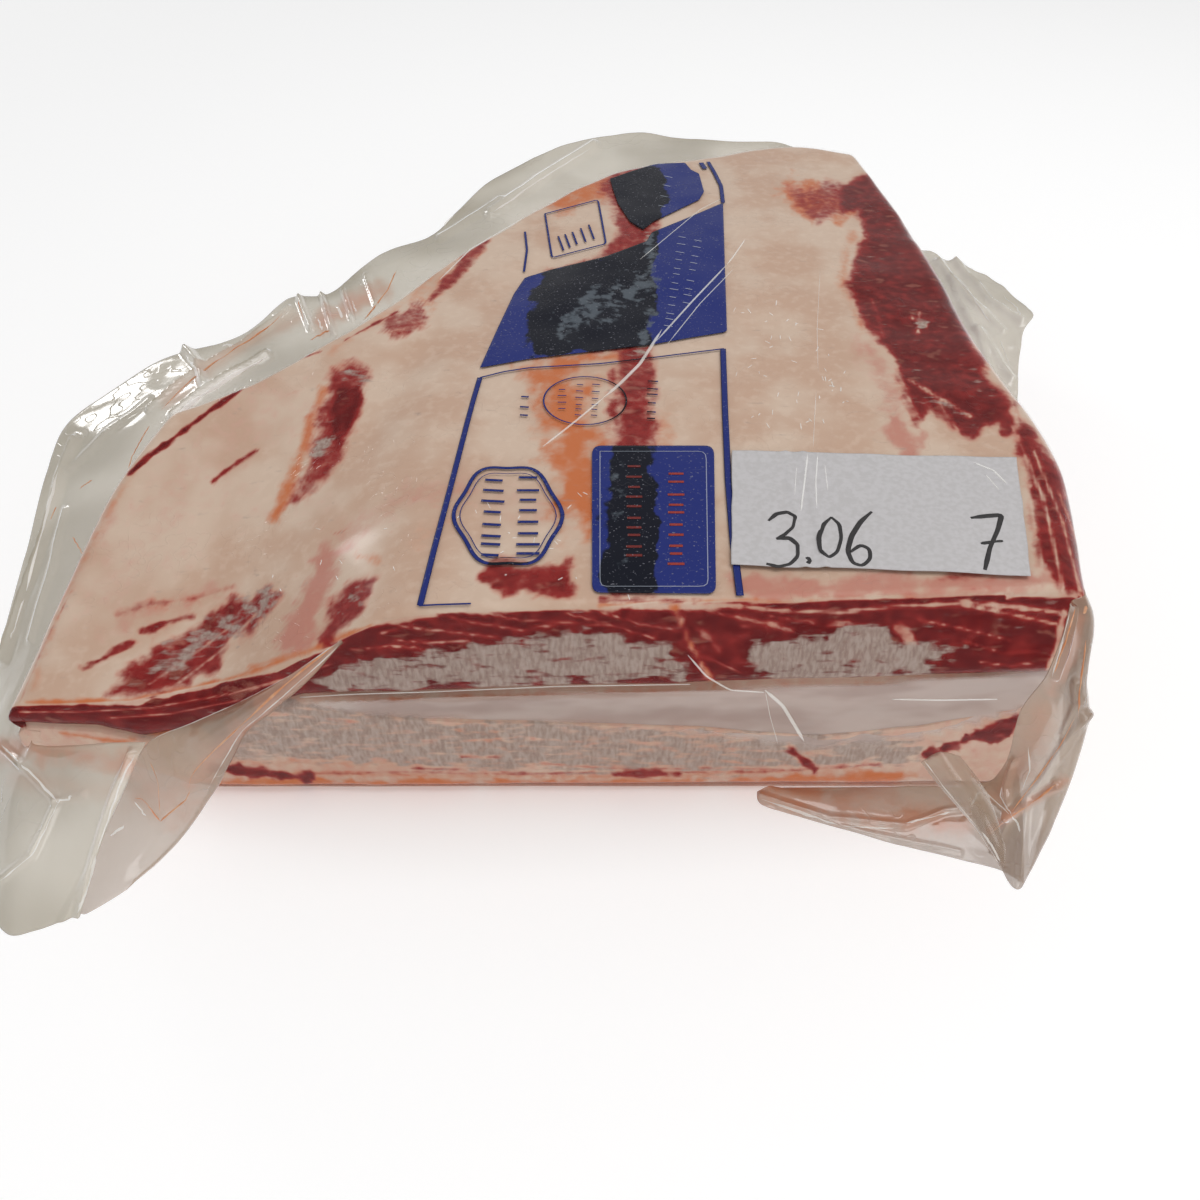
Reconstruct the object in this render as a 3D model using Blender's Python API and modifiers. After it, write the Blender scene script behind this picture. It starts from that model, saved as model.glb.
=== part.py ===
"""Raw beef brisket in a clear vacuum bag, with a paper label.

Two thick slabs of beef lie one on the other in a sealed bag. The cut face is at the front,
along -Y, and the bag's loose margins stand out behind, at both sides and along the floor.
The origin is at the bottom centre of the whole pack, X runs along the cut face and Z is up.
Run it with: blender --background --python part.py
"""

import math

import bmesh
import bpy
import numpy as np
from mathutils import Vector

MM = 0.001

# Driving dimensions of the pack, in millimetres
PACK_HEIGHT = 68.0
LEFT_END_DROP = 32.0
DROP_STARTS_X = -25.0
DROP_LENGTH = 70.0
DROP_FADES_Y = (-130.0, 10.0)
LEFT_END_LIFT = 20.0
LIFT_STARTS_X = -88.0
LIFT_LENGTH = 40.0

# How round the edges are: the front is a knife cut, and the other sides are soft
FRONT_EDGE_RADIUS = 3.0
SIDE_EDGE_RADIUS = 8.0
FOOT_EDGE_RADIUS = 6.0

# The outline in plan, side by side, from the front-left corner round to the back-left one
FRONT_SIDE = [(-131.0, -122.0), (-60.0, -121.0), (0.0, -121.5), (60.0, -121.2), (116.0, -119.5)]
RIGHT_SIDE = [(116.0, -119.5), (121.0, -50.0), (120.0, 30.0), (116.0, 100.0), (110.0, 136.0)]
BACK_SIDE = [
    (-114.0, -31.0),
    (-86.0, -16.0),
    (-60.0, 12.0),
    (-36.0, 57.0),
    (-5.0, 98.0),
    (20.0, 124.0),
    (52.0, 136.0),
    (86.0, 151.0),
    (110.0, 136.0),
]
LEFT_SIDE = [(-131.0, -122.0), (-130.0, -92.0), (-125.0, -58.0), (-114.0, -31.0)]

# The step in the cut face where the two slabs meet: the upper slab's lower edge,
# and the lower slab's upper edge below it, as heights along the face
UPPER_SLAB_FOOT = [(-127.0, 24.0), (-60.0, 37.0), (-20.0, 40.0), (60.0, 43.0), (116.0, 47.0)]
LOWER_SLAB_CREST = [
    (-127.0, 22.0),
    (-60.0, 35.0),
    (-30.0, 28.0),
    (20.0, 21.0),
    (62.0, 17.0),
    (86.0, 22.0),
    (116.0, 34.0),
]
STEP_DEPTH = 3.0
STEP_BLEND = 2.0
FULL_STEP_HALF_HEIGHT = 6.0
THINNEST_STEP_HALF_HEIGHT = 1.5

# Shallow furrows that the ribs left in the top: middle, direction in degrees, half length, depth
RIB_FURROWS = [
    ((-48.0, -30.0), 76.0, 36.0, 1.6),
    ((-8.0, 40.0), 60.0, 34.0, 1.2),
    ((24.0, 20.0), 88.0, 60.0, 1.4),
]
FURROW_HALF_WIDTH = 8.0

# The soft swell of the top between the furrows: its height and the lengths of its waves
SWELL_HEIGHT = 0.7
SWELL_LENGTH_X = 31.0
SWELL_LENGTH_Y = 37.0

# The paper label: its middle, size and turn, and the gap that keeps it clear of the bag
LABEL_CENTRE = (76.0, -86.0)
LABEL_SIZE = (70.0, 43.0)
LABEL_TURN_DEG = -1.5
LABEL_THICKNESS = 0.4
LABEL_GAP = 0.5

# Loose margins of the bag. Each has a root in the pack and a free edge, point by point.
FILM_THICKNESS = 1.2
BACK_LEFT_ROOT = [
    (84.0, 143.0, 60.0), (40.0, 124.0, 60.0), (14.0, 109.0, 60.0), (-8.0, 84.0, 58.0),
    (-34.0, 50.0, 56.0), (-56.0, 14.0, 52.0), (-86.0, -22.0, 44.0), (-112.0, -44.0, 34.0),
    (-120.0, -66.0, 28.0), (-122.0, -90.0, 24.0), (-122.0, -110.0, 22.0), (-118.0, -116.0, 15.0),
    (-102.0, -116.0, 8.0), (-92.0, -115.0, 4.0),
]
BACK_LEFT_EDGE = [
    (84.0, 151.0, 66.0), (27.0, 160.0, 66.0), (-7.0, 150.0, 65.0), (-42.0, 103.0, 59.0),
    (-80.0, 78.0, 51.0), (-90.0, 60.0, 46.0), (-120.0, 46.0, 42.0), (-158.0, 24.0, 34.0),
    (-163.0, -16.0, 26.0), (-161.0, -65.0, 16.0), (-157.0, -110.0, 6.0), (-131.0, -160.0, 1.4),
    (-104.0, -148.0, 1.4), (-92.0, -119.0, 1.4),
]
FRONT_RIGHT_ROOT = [
    (54.0, -116.0, 3.0), (84.0, -116.0, 3.0), (104.0, -116.0, 3.0), (112.0, -111.0, 6.0),
    (114.0, -102.0, 18.0), (115.0, -94.0, 38.0),
]
FRONT_RIGHT_EDGE = [
    (52.0, -124.0, 1.4), (84.0, -135.0, 1.4), (115.0, -147.0, 1.4), (131.0, -121.0, 3.0),
    (138.0, -101.0, 14.0), (130.0, -92.0, 38.0),
]
RIGHT_BACK_ROOT = [
    (111.0, 100.0, 42.0), (113.0, 74.0, 42.0), (115.0, 48.0, 40.0), (116.0, 20.0, 38.0),
    (116.0, -10.0, 35.0), (116.0, -34.0, 32.0),
]
RIGHT_BACK_EDGE = [
    (120.0, 98.0, 44.0), (140.0, 84.0, 49.0), (163.0, 48.0, 45.0), (153.0, 26.0, 42.0),
    (142.0, -4.0, 38.0), (122.0, -34.0, 33.0),
]

# Where the film is pulled from a corner of the beef down to the floor, it makes a hollow tent,
# which is a faceted wedge between these points
LEFT_TENT = [
    (-125.0, -117.0, 23.0), (-114.0, -122.5, 24.0), (-84.0, -122.0, 33.0), (-40.0, -123.0, 63.0),
    (-93.0, -125.0, 1.0), (-101.0, -138.0, 1.0), (-128.0, -141.0, 1.0), (-143.0, -122.0, 1.0),
    (-140.0, -100.0, 6.0), (-110.0, -90.0, 6.0), (-60.0, -110.0, 20.0),
]
RIGHT_TENT = [
    (115.5, -117.0, 62.0), (108.0, -122.0, 20.0), (96.0, -121.0, 1.0), (108.0, -134.0, 1.0),
    (123.0, -124.0, 1.0), (130.0, -104.0, 8.0), (126.0, -94.0, 34.0), (117.0, -94.0, 58.0),
    (100.0, -100.0, 10.0),
]

# How finely the pieces are cut into faces
BODY_CUTS = 25
MARGIN_SEGMENTS = 40
MARGIN_ROWS = 3
LABEL_SEGMENTS = (12, 7)
SHARP_ANGLE_DEG = 40.0

BEEF_COLOUR = (0.72, 0.38, 0.30, 1.0)
PAPER_COLOUR = (0.80, 0.79, 0.80, 1.0)


def clear_scene():
    """Removes whatever the file held, so that only the pack is left."""
    for held in list(bpy.data.objects):
        bpy.data.objects.remove(held)


def plain_material(name, colour, roughness):
    """A Principled material of one colour."""
    material = bpy.data.materials.new(name)
    material.use_nodes = True
    shader = material.node_tree.nodes["Principled BSDF"]
    shader.inputs["Base Color"].default_value = colour
    shader.inputs["Roughness"].default_value = roughness
    shader.inputs["Metallic"].default_value = 0.0
    return material


def smoothstep(t):
    """0 below 0, 1 above 1, and a smooth S between."""
    t = min(max(t, 0.0), 1.0)
    return t * t * (3.0 - 2.0 * t)


def along(points, share):
    """The point at a share from 0 to 1 of the smooth Catmull-Rom curve through the points."""
    points = [Vector(p) for p in points]
    place = min(max(share, 0.0), 1.0) * (len(points) - 1)
    k = min(int(place), len(points) - 2)
    t = place - k
    before = points[k - 1] if k > 0 else points[k] * 2.0 - points[k + 1]
    after = points[k + 2] if k + 2 < len(points) else points[k + 1] * 2.0 - points[k]
    return 0.5 * (
        2.0 * points[k]
        + (points[k + 1] - before) * t
        + (2.0 * before - 5.0 * points[k] + 4.0 * points[k + 1] - after) * t * t
        + (3.0 * points[k] - before - 3.0 * points[k + 1] + after) * t ** 3
    )


def height_on(profile, x):
    """The height at x of a profile given as (x, height) points, joined by straight lines."""
    return float(np.interp(x, [p[0] for p in profile], [p[1] for p in profile]))


def plan_point(across, back):
    """The Coons patch over the outline: across and back run from 0 to 1, from the front-left corner."""
    front, rear = along(FRONT_SIDE, across), along(BACK_SIDE, across)
    left, right = along(LEFT_SIDE, back), along(RIGHT_SIDE, back)
    corners = (
        Vector(FRONT_SIDE[0]) * (1 - across) * (1 - back)
        + Vector(FRONT_SIDE[-1]) * across * (1 - back)
        + Vector(BACK_SIDE[0]) * (1 - across) * back
        + Vector(BACK_SIDE[-1]) * across * back
    )
    return front * (1 - back) + rear * back + left * (1 - across) + right * across - corners


def furrow_depth(x, y):
    """How deep the rib furrows are at a point of the top: each is a long, soft-ended groove."""
    depth = 0.0
    for (mid_x, mid_y), turn, half_length, deepest in RIB_FURROWS:
        angle = math.radians(turn)
        lengthwise = (x - mid_x) * math.cos(angle) + (y - mid_y) * math.sin(angle)
        crosswise = (y - mid_y) * math.cos(angle) - (x - mid_x) * math.sin(angle)
        fade = smoothstep(2.0 - 2.0 * abs(lengthwise) / half_length)
        depth += deepest * fade * math.exp(-((crosswise / FURROW_HALF_WIDTH) ** 2))
    return depth


def top_height(x, y):
    """The height of the pack's top away from its rounded edges: flat, drooping at the left end."""
    fade = 1.0 - smoothstep((y - DROP_FADES_Y[0]) / (DROP_FADES_Y[1] - DROP_FADES_Y[0]))
    drop = LEFT_END_DROP * smoothstep((DROP_STARTS_X - x) / DROP_LENGTH) * fade
    swell = SWELL_HEIGHT * math.sin(x / SWELL_LENGTH_X) * math.sin(y / SWELL_LENGTH_Y)
    return PACK_HEIGHT - drop - furrow_depth(x, y) + swell


def foot_height(x):
    """The height of the underside: on the floor, and lifted under the overhanging left end."""
    return LEFT_END_LIFT * smoothstep((LIFT_STARTS_X - x) / LIFT_LENGTH)


def rounding(inside, radius):
    """How far a quarter-round edge of this radius lies below the flat, a distance inside the outline."""
    short = max(0.0, radius - inside)
    return radius - math.sqrt(radius * radius - short * short)


def edge_falls(across, back):
    """The summed rounding of the four edges at a place in the plan, in millimetres."""
    width = (plan_point(1.0, back) - plan_point(0.0, back)).length
    depth = (plan_point(across, 1.0) - plan_point(across, 0.0)).length
    falls = (
        rounding(back * depth, FRONT_EDGE_RADIUS),
        rounding((1.0 - back) * depth, SIDE_EDGE_RADIUS),
        rounding(across * width, SIDE_EDGE_RADIUS),
        rounding((1.0 - across) * width, SIDE_EDGE_RADIUS),
    )
    return min(math.sqrt(sum(fall * fall for fall in falls)), SIDE_EDGE_RADIUS)


def step_inset(x, z):
    """How far the film draws back in the gap between the upper and the lower slab."""
    upper, lower = height_on(UPPER_SLAB_FOOT, x), height_on(LOWER_SLAB_CREST, x)
    middle = (upper + lower) / 2.0
    half = max((upper - lower) / 2.0, THINNEST_STEP_HALF_HEIGHT)
    reach = 1.0 - ((z - middle) / (half + STEP_BLEND)) ** 2
    return STEP_DEPTH * min(1.0, half / FULL_STEP_HALF_HEIGHT) * max(reach, 0.0)


def pack_point(corner):
    """Where a point of the cube from -1 to 1 goes on the pack: its sides wrap the outline."""
    across = 0.5 + 0.5 * math.sin(math.pi / 2.0 * corner.x)
    back = 0.5 + 0.5 * math.sin(math.pi / 2.0 * corner.y)
    place = plan_point(across, back)
    falls = edge_falls(across, back)
    top = top_height(place.x, place.y) - falls
    foot = foot_height(place.x) + min(falls, FOOT_EDGE_RADIUS)
    z = foot + (top - foot) * (0.5 + 0.5 * corner.z)
    y = place.y
    if corner.y <= -1.0:
        y += step_inset(place.x, z)
    return Vector((place.x, y, z)) * MM


def link(name, mesh, material, collection):
    """A new object for the mesh, with its material, in the collection."""
    mesh.materials.append(material)
    made = bpy.data.objects.new(name, mesh)
    collection.objects.link(made)
    return made


def pack_body(material, collection):
    """The two slabs in their tight film: a finely cut cube, moved onto the pack's form."""
    form = bmesh.new()
    bmesh.ops.create_cube(form, size=2.0)
    bmesh.ops.subdivide_edges(form, edges=form.edges[:], cuts=BODY_CUTS, use_grid_fill=True)
    for vert in form.verts:
        vert.co = pack_point(vert.co.copy())
    mesh = bpy.data.meshes.new("sealed_bag")
    form.to_mesh(mesh)
    form.free()
    return link("sealed_bag", mesh, material, collection)


def margin(name, root, edge, material, collection):
    """A loose margin of the bag: a ruled sheet from its root to its free edge, given a thickness."""
    form = bmesh.new()
    bmesh.ops.create_grid(form, x_segments=MARGIN_SEGMENTS, y_segments=MARGIN_ROWS, size=1.0)
    for vert in form.verts:
        share, outward = (vert.co.x + 1.0) / 2.0, (vert.co.y + 1.0) / 2.0
        vert.co = along(root, share).lerp(along(edge, share), outward) * MM
    bmesh.ops.recalc_face_normals(form, faces=form.faces[:])
    mesh = bpy.data.meshes.new(name)
    form.to_mesh(mesh)
    form.free()
    made = link(name, mesh, material, collection)
    wall = made.modifiers.new("Film", "SOLIDIFY")
    wall.thickness = FILM_THICKNESS * MM
    wall.offset = 0.0
    return made


def tent(name, points, material, collection):
    """The wedge of film that spans between a corner of the beef and the floor."""
    form = bmesh.new()
    for point in points:
        form.verts.new(Vector(point) * MM)
    hull = bmesh.ops.convex_hull(form, input=form.verts[:])
    loose = [e for e in hull["geom_interior"] if isinstance(e, bmesh.types.BMVert)]
    bmesh.ops.delete(form, geom=loose, context="VERTS")
    bmesh.ops.recalc_face_normals(form, faces=form.faces[:])
    mesh = bpy.data.meshes.new(name)
    form.to_mesh(mesh)
    form.free()
    return link(name, mesh, material, collection)


def fuse(body, pieces):
    """Joins the pieces to the body with one Boolean union, applies it and removes them."""
    union = body.modifiers.new("Fused", "BOOLEAN")
    union.operation = "UNION"
    union.solver = "MANIFOLD"
    union.operand_type = "COLLECTION"
    union.collection = pieces
    graph = bpy.context.evaluated_depsgraph_get()
    joined = bpy.data.meshes.new_from_object(body.evaluated_get(graph))
    body.modifiers.remove(union)
    old = body.data
    body.data = joined
    joined.name = old.name
    bpy.data.meshes.remove(old)
    for piece in list(pieces.objects):
        bpy.data.objects.remove(piece)
    bpy.data.collections.remove(pieces)


def right_edge_fall(x, y):
    """The rounding of the pack's right edge at a point near it."""
    share = (y - RIGHT_SIDE[0][1]) / (RIGHT_SIDE[-1][1] - RIGHT_SIDE[0][1])
    return rounding(along(RIGHT_SIDE, share).x - x, SIDE_EDGE_RADIUS)


def paper_label(material, collection):
    """The paper label: a sheet that follows the top just above the film, near the front right."""
    turn = math.radians(LABEL_TURN_DEG)
    form = bmesh.new()
    bmesh.ops.create_grid(
        form, x_segments=LABEL_SEGMENTS[0], y_segments=LABEL_SEGMENTS[1], size=1.0
    )
    for vert in form.verts:
        x, y = vert.co.x * LABEL_SIZE[0] / 2.0, vert.co.y * LABEL_SIZE[1] / 2.0
        across = LABEL_CENTRE[0] + x * math.cos(turn) - y * math.sin(turn)
        back = LABEL_CENTRE[1] + x * math.sin(turn) + y * math.cos(turn)
        height = top_height(across, back) - right_edge_fall(across, back) + LABEL_GAP
        vert.co = Vector((across, back, height)) * MM
    mesh = bpy.data.meshes.new("paper_label")
    form.to_mesh(mesh)
    form.free()
    made = link("paper_label", mesh, material, collection)
    sheet = made.modifiers.new("Paper", "SOLIDIFY")
    sheet.thickness = LABEL_THICKNESS * MM
    sheet.offset = 1.0
    return made


def main():
    clear_scene()
    pack = bpy.data.collections.new("vacuum_packed_brisket")
    fused = bpy.data.collections.new("fused_film")
    for collection in (pack, fused):
        bpy.context.scene.collection.children.link(collection)
    beef = plain_material("beef_in_film", BEEF_COLOUR, 0.25)
    paper = plain_material("label_paper", PAPER_COLOUR, 0.8)

    body = pack_body(beef, pack)
    margin("back_left_margin", BACK_LEFT_ROOT, BACK_LEFT_EDGE, beef, fused)
    margin("front_right_margin", FRONT_RIGHT_ROOT, FRONT_RIGHT_EDGE, beef, fused)
    margin("right_back_margin", RIGHT_BACK_ROOT, RIGHT_BACK_EDGE, beef, fused)
    tent("left_tent", LEFT_TENT, beef, fused)
    tent("right_tent", RIGHT_TENT, beef, fused)
    fuse(body, fused)
    body.data.shade_smooth()
    body.data.set_sharp_from_angle(angle=math.radians(SHARP_ANGLE_DEG))
    paper_label(paper, pack)


main()
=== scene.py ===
"""Raw beef brisket in a clear vacuum bag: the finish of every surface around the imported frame.

The solid of the sealed bag is replaced by its contents and its film: two slabs of beef, the film
drawn tight over them, the bag's loose margins, the tents that the film makes at the front corners,
its pleats, the juice that runs in its creases and the blue print on it. The solid of the label is
replaced by a creased sheet of paper with plain numerals on it. Lengths are in millimetres until a
mesh is made. Marks on the beef and folds in the film are placed by the photograph's pixels, in a
frame of 1200 by 1200, and then laid on the surface that carries them.
"""

import math

import bpy
import numpy as np
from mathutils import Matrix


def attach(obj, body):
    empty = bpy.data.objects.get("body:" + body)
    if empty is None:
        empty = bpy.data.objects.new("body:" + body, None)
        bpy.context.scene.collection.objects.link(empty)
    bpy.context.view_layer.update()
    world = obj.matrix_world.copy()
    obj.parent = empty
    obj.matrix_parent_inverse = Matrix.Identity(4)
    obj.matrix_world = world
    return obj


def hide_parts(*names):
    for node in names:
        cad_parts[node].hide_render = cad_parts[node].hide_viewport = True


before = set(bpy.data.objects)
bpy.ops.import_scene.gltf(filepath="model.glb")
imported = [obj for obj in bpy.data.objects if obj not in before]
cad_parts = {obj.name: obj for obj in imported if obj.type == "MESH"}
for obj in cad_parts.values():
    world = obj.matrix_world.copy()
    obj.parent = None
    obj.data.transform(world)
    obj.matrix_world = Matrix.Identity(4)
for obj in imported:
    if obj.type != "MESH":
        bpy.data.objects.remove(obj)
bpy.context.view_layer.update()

MM = 0.001

# The camera that took the photograph, in the pack's own frame
CAMERA_PLACE = (10.0, -264.0, 218.0)
CAMERA_PITCH_DEG = 45.4
FOCAL_PIXELS = 965.0
PHOTO_PIXELS = 1200.0
SENSOR_WIDTH = 36.0

# The pack's form, with the driving dimensions of its solid. The cut face rolls back to the top's
# front edge, and the right side swells, as far as the photograph shows.
PACK_HEIGHT = 68.0
LEFT_END_DROP = 32.0
DROP_STARTS_X = -25.0
DROP_LENGTH = 70.0
DROP_FADES_Y = (-130.0, 10.0)
LEFT_END_LIFT = 16.0
LIFT_STARTS_X = -88.0
LIFT_LENGTH = 40.0
FRONT_EDGE_RADIUS = 3.0
SIDE_EDGE_RADIUS = 8.0
FOOT_EDGE_RADIUS = 6.0
FRONT_SIDE = [(-134.5, -120), (-71, -119.5), (-7, -118.3), (56.5, -115.8), (120, -112.5)]
RIGHT_SIDE = [(120, -112.5), (130, -62), (125.5, -12), (124.3, 38), (121.5, 88), (114.5, 139)]
BACK_SIDE = [
    (-114, -31),
    (-86, -16),
    (-60, 12),
    (-36, 57),
    (-5, 100),
    (20, 126),
    (52, 138.5),
    (86, 151),
    (114.5, 139),
]
LEFT_SIDE = [(-134.5, -120), (-132.5, -92), (-126, -58), (-114, -31)]
FRONT_FACE_Y = -121.5
FACE_ROLLS_FROM = 0.6
UPPER_SLAB_FOOT = [
    (-131, 27),
    (-113, 25.5),
    (-103, 22),
    (-90, 25),
    (-77, 31),
    (-60, 37.5),
    (-20, 40),
    (60, 43.5),
    (116, 47.5),
]
LOWER_SLAB_CREST = [
    (-131, 26.5),
    (-113, 25),
    (-103, 21.5),
    (-90, 24.5),
    (-77, 30.5),
    (-60, 35.5),
    (-44, 31),
    (-21, 28.2),
    (8, 26.6),
    (34, 24.6),
    (50, 20.9),
    (65, 18.4),
    (88, 22.2),
    (101, 27.8),
    (116, 35),
]
STEP_DEPTH = 3.0
STEP_BLEND = 2.0
RIB_FURROWS = [
    ((-48, -30), 76, 36, 1.6),
    ((-8, 40), 60, 34, 1.2),
    ((24, 20), 88, 60, 1.4),
]
FURROW_HALF_WIDTH = 8.0
SWELL_HEIGHT = 0.7
SWELL_LENGTH_X = 31.0
SWELL_LENGTH_Y = 37.0
LUMP_HEIGHT = 0.4
LUMP_SIZE = 17.0

# The plan's least x and y and its spans, roughly: where the search for a place's shares starts
PLAN_START = (-125.0, -121.0)
PLAN_SPAN = (243.0, 250.0)

# How far behind the front side a point still belongs to the cut face, and over what it fades
FACE_REACH = 7.0
FACE_FADE = 2.0
LEAN_REACH = 14.0
SLAB_BELLY = 0.5

# How the layers lie over each other
BEEF_UNDER_FILM = 0.5
PRINT_OVER_FILM = 0.14
BARS_OVER_FILM = 0.24
LABEL_OVER_FILM = 0.55
GLINTS_OVER_FILM = 1.15
PEN_OVER_LABEL = 0.12
LOOSE_WALL = 0.2
INK_WALL = 0.05
PAPER_WALL = 0.16


def smoothstep(t):
    """0 below 0, 1 above 1, and a smooth S between."""
    t = np.clip(t, 0.0, 1.0)
    return t * t * (3.0 - 2.0 * t)


def blend(a, b, t):
    """a where t is 0, b where it is 1."""
    return a * (1.0 - t) + b * t


def noise(x, y, cell, seed):
    """Value noise from -1 to 1: random heights on a square lattice, joined by smoothsteps."""
    size = 64
    heights = np.random.default_rng(seed).uniform(-1.0, 1.0, (size, size))
    gx, gy = x / cell, y / cell
    i, j = np.floor(gx).astype(int), np.floor(gy).astype(int)
    fx, fy = smoothstep(gx - i), smoothstep(gy - j)
    near = blend(heights[j % size, i % size], heights[j % size, (i + 1) % size], fx)
    far = blend(heights[(j + 1) % size, i % size], heights[(j + 1) % size, (i + 1) % size], fx)
    return blend(near, far, fy)


def fractal(x, y, cell, seed, octaves=4):
    """A sum of octaves of value noise, each half as large and half as strong as the last."""
    return sum(noise(x, y, cell / 2**k, seed + k) / 2**k for k in range(octaves))


def crumple(x, y, size, seed, waves=7):
    """Creased film: a mean of triangle waves in random directions, which meet in flat facets."""
    draw = np.random.default_rng(seed)
    bend_x, bend_y = noise(x, y, size * 2.5, seed + 1), noise(x, y, size * 2.5, seed + 2)
    total = np.zeros(np.broadcast(x, y).shape)
    for _ in range(waves):
        angle, phase = draw.uniform(0.0, math.pi), draw.uniform(0.0, 1.0)
        length = size * draw.uniform(0.7, 1.9)
        run = (x * math.cos(angle) + y * math.sin(angle)) / length + phase + 0.35 * (bend_x + bend_y)
        total += np.abs(2.0 * (run - np.floor(run)) - 1.0) * length / size
    return total / waves - 0.6


def along(points, share):
    """The smooth Catmull-Rom curve through the points, or the surface through whole lines of them."""
    points, share = np.asarray(points, float), np.asarray(share, float)
    place = np.clip(share, 0.0, 1.0) * (len(points) - 1)
    k = np.minimum(place.astype(int), len(points) - 2)
    t = (place - k).reshape(place.shape + (1,) * (points.ndim - 1))
    held = np.concatenate([2 * points[:1] - points[1:2], points, 2 * points[-1:] - points[-2:-1]])
    a, b, c, d = held[k], held[k + 1], held[k + 2], held[k + 3]
    cubic = (3 * b - a - 3 * c + d) * t**3
    return 0.5 * (2 * b + (c - a) * t + (2 * a - 5 * b + 4 * c - d) * t**2 + cubic)


def polyline(points, count):
    """The straight-sided line through the points, cut into equal steps."""
    points = np.asarray(points, float)
    reach = np.concatenate([[0.0], np.cumsum(np.linalg.norm(np.diff(points, axis=0), axis=1))])
    steps = np.linspace(0.0, reach[-1], count)
    return np.stack([np.interp(steps, reach, points[:, k]) for k in range(points.shape[1])], axis=-1)


def distance_to_line(x, y, points):
    """The distance from each place to a line of straight runs."""
    points = np.asarray(points, float)
    nearest = np.full(np.shape(x), np.inf)
    for (ax, ay), (bx, by) in zip(points[:-1], points[1:]):
        length = (bx - ax) ** 2 + (by - ay) ** 2
        t = np.clip(((x - ax) * (bx - ax) + (y - ay) * (by - ay)) / max(length, 1e-9), 0.0, 1.0)
        nearest = np.minimum(nearest, np.hypot(x - ax - t * (bx - ax), y - ay - t * (by - ay)))
    return nearest


def inside_outline(x, y, outline):
    """The distance to an outline, counted positive inside it and negative outside."""
    closed = np.vstack([outline, outline[:1]]).astype(float)
    crossed = np.zeros(np.shape(x), bool)
    for (ax, ay), (bx, by) in zip(closed[:-1], closed[1:]):
        if ay != by:
            crossed ^= ((ay > y) != (by > y)) & (x < (bx - ax) * (y - ay) / (by - ay) + ax)
    return np.where(crossed, 1.0, -1.0) * distance_to_line(x, y, closed)


# The form of the pack


def profile(points, x):
    """The height at x of a line of (x, height) points."""
    return np.interp(x, [p[0] for p in points], [p[1] for p in points])


def plan_points(across, back):
    """The Coons patch over the outline: each pair of sides blended, less the corners' own blend."""
    a, b = across[..., None], back[..., None]
    sides = along(FRONT_SIDE, across) * (1 - b) + along(BACK_SIDE, across) * b
    ends = along(LEFT_SIDE, back) * (1 - a) + along(RIGHT_SIDE, back) * a
    near = np.asarray(FRONT_SIDE[0]) * (1 - a) + np.asarray(FRONT_SIDE[-1]) * a
    far = np.asarray(BACK_SIDE[0]) * (1 - a) + np.asarray(BACK_SIDE[-1]) * a
    return sides + ends - near * (1 - b) - far * b


def cross_product(a, b):
    """The cross product of two arrays of (x, y)."""
    return a[..., 0] * b[..., 1] - a[..., 1] * b[..., 0]


def plan_shares(x, y):
    """The shares across and back whose place in the plan is each (x, y), by Newton's steps."""
    across = np.clip((x - PLAN_START[0]) / PLAN_SPAN[0], 0.02, 0.98)
    back = np.clip((y - PLAN_START[1]) / PLAN_SPAN[1], 0.02, 0.98)
    step = 1e-4
    for _ in range(6):
        here = plan_points(across, back)
        da = (plan_points(across + step, back) - here) / step
        db = (plan_points(across, back + step) - here) / step
        miss = np.stack([x, y], axis=-1) - here
        area = cross_product(da, db)
        across = np.clip(across + cross_product(miss, db) / area, 0.0, 1.0 - step)
        back = np.clip(back + cross_product(da, miss) / area, 0.0, 1.0 - step)
    return across, back


def furrow_depth(x, y):
    """How deep the rib furrows are: long, soft-ended grooves with a bell-shaped section."""
    depth = np.zeros(np.shape(x))
    for (mid_x, mid_y), turn, half_length, deepest in RIB_FURROWS:
        angle = math.radians(turn)
        lengthwise = (x - mid_x) * math.cos(angle) + (y - mid_y) * math.sin(angle)
        crosswise = (y - mid_y) * math.cos(angle) - (x - mid_x) * math.sin(angle)
        fade = smoothstep(2.0 - 2.0 * np.abs(lengthwise) / half_length)
        depth += deepest * fade * np.exp(-((crosswise / FURROW_HALF_WIDTH) ** 2))
    return depth


def top_height(x, y):
    """The top's height away from its rounded edges: flat, drooping at the left, with soft lumps."""
    fade = 1.0 - smoothstep((y - DROP_FADES_Y[0]) / (DROP_FADES_Y[1] - DROP_FADES_Y[0]))
    drop = LEFT_END_DROP * smoothstep((DROP_STARTS_X - x) / DROP_LENGTH) * fade
    swell = SWELL_HEIGHT * np.sin(x / SWELL_LENGTH_X) * np.sin(y / SWELL_LENGTH_Y)
    lumps = LUMP_HEIGHT * fractal(x, y, LUMP_SIZE, 11, 2)
    return PACK_HEIGHT - drop - furrow_depth(x, y) + swell + lumps


def foot_height(x, y):
    """The underside's height: on the floor, and lifted under the overhanging left end."""
    return LEFT_END_LIFT * smoothstep((LIFT_STARTS_X - x) / LIFT_LENGTH) + 0.0 * y


def face_lean(x, z):
    """How far the cut face stands out in front of the top's edge: it rolls back towards the top."""
    top = top_height(x, profile(FRONT_SIDE, x))
    rolled = smoothstep((z / top - FACE_ROLLS_FROM) / (1.0 - FACE_ROLLS_FROM))
    return (profile(FRONT_SIDE, x) - FRONT_FACE_Y) * (1.0 - rolled)


def near_front(x, y, reach, fade, lean=0.0):
    """1 within reach of the front side, moved out by the lean, and 0 a fade further back."""
    return smoothstep((profile(FRONT_SIDE, x) - lean + reach - y) / fade)


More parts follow.
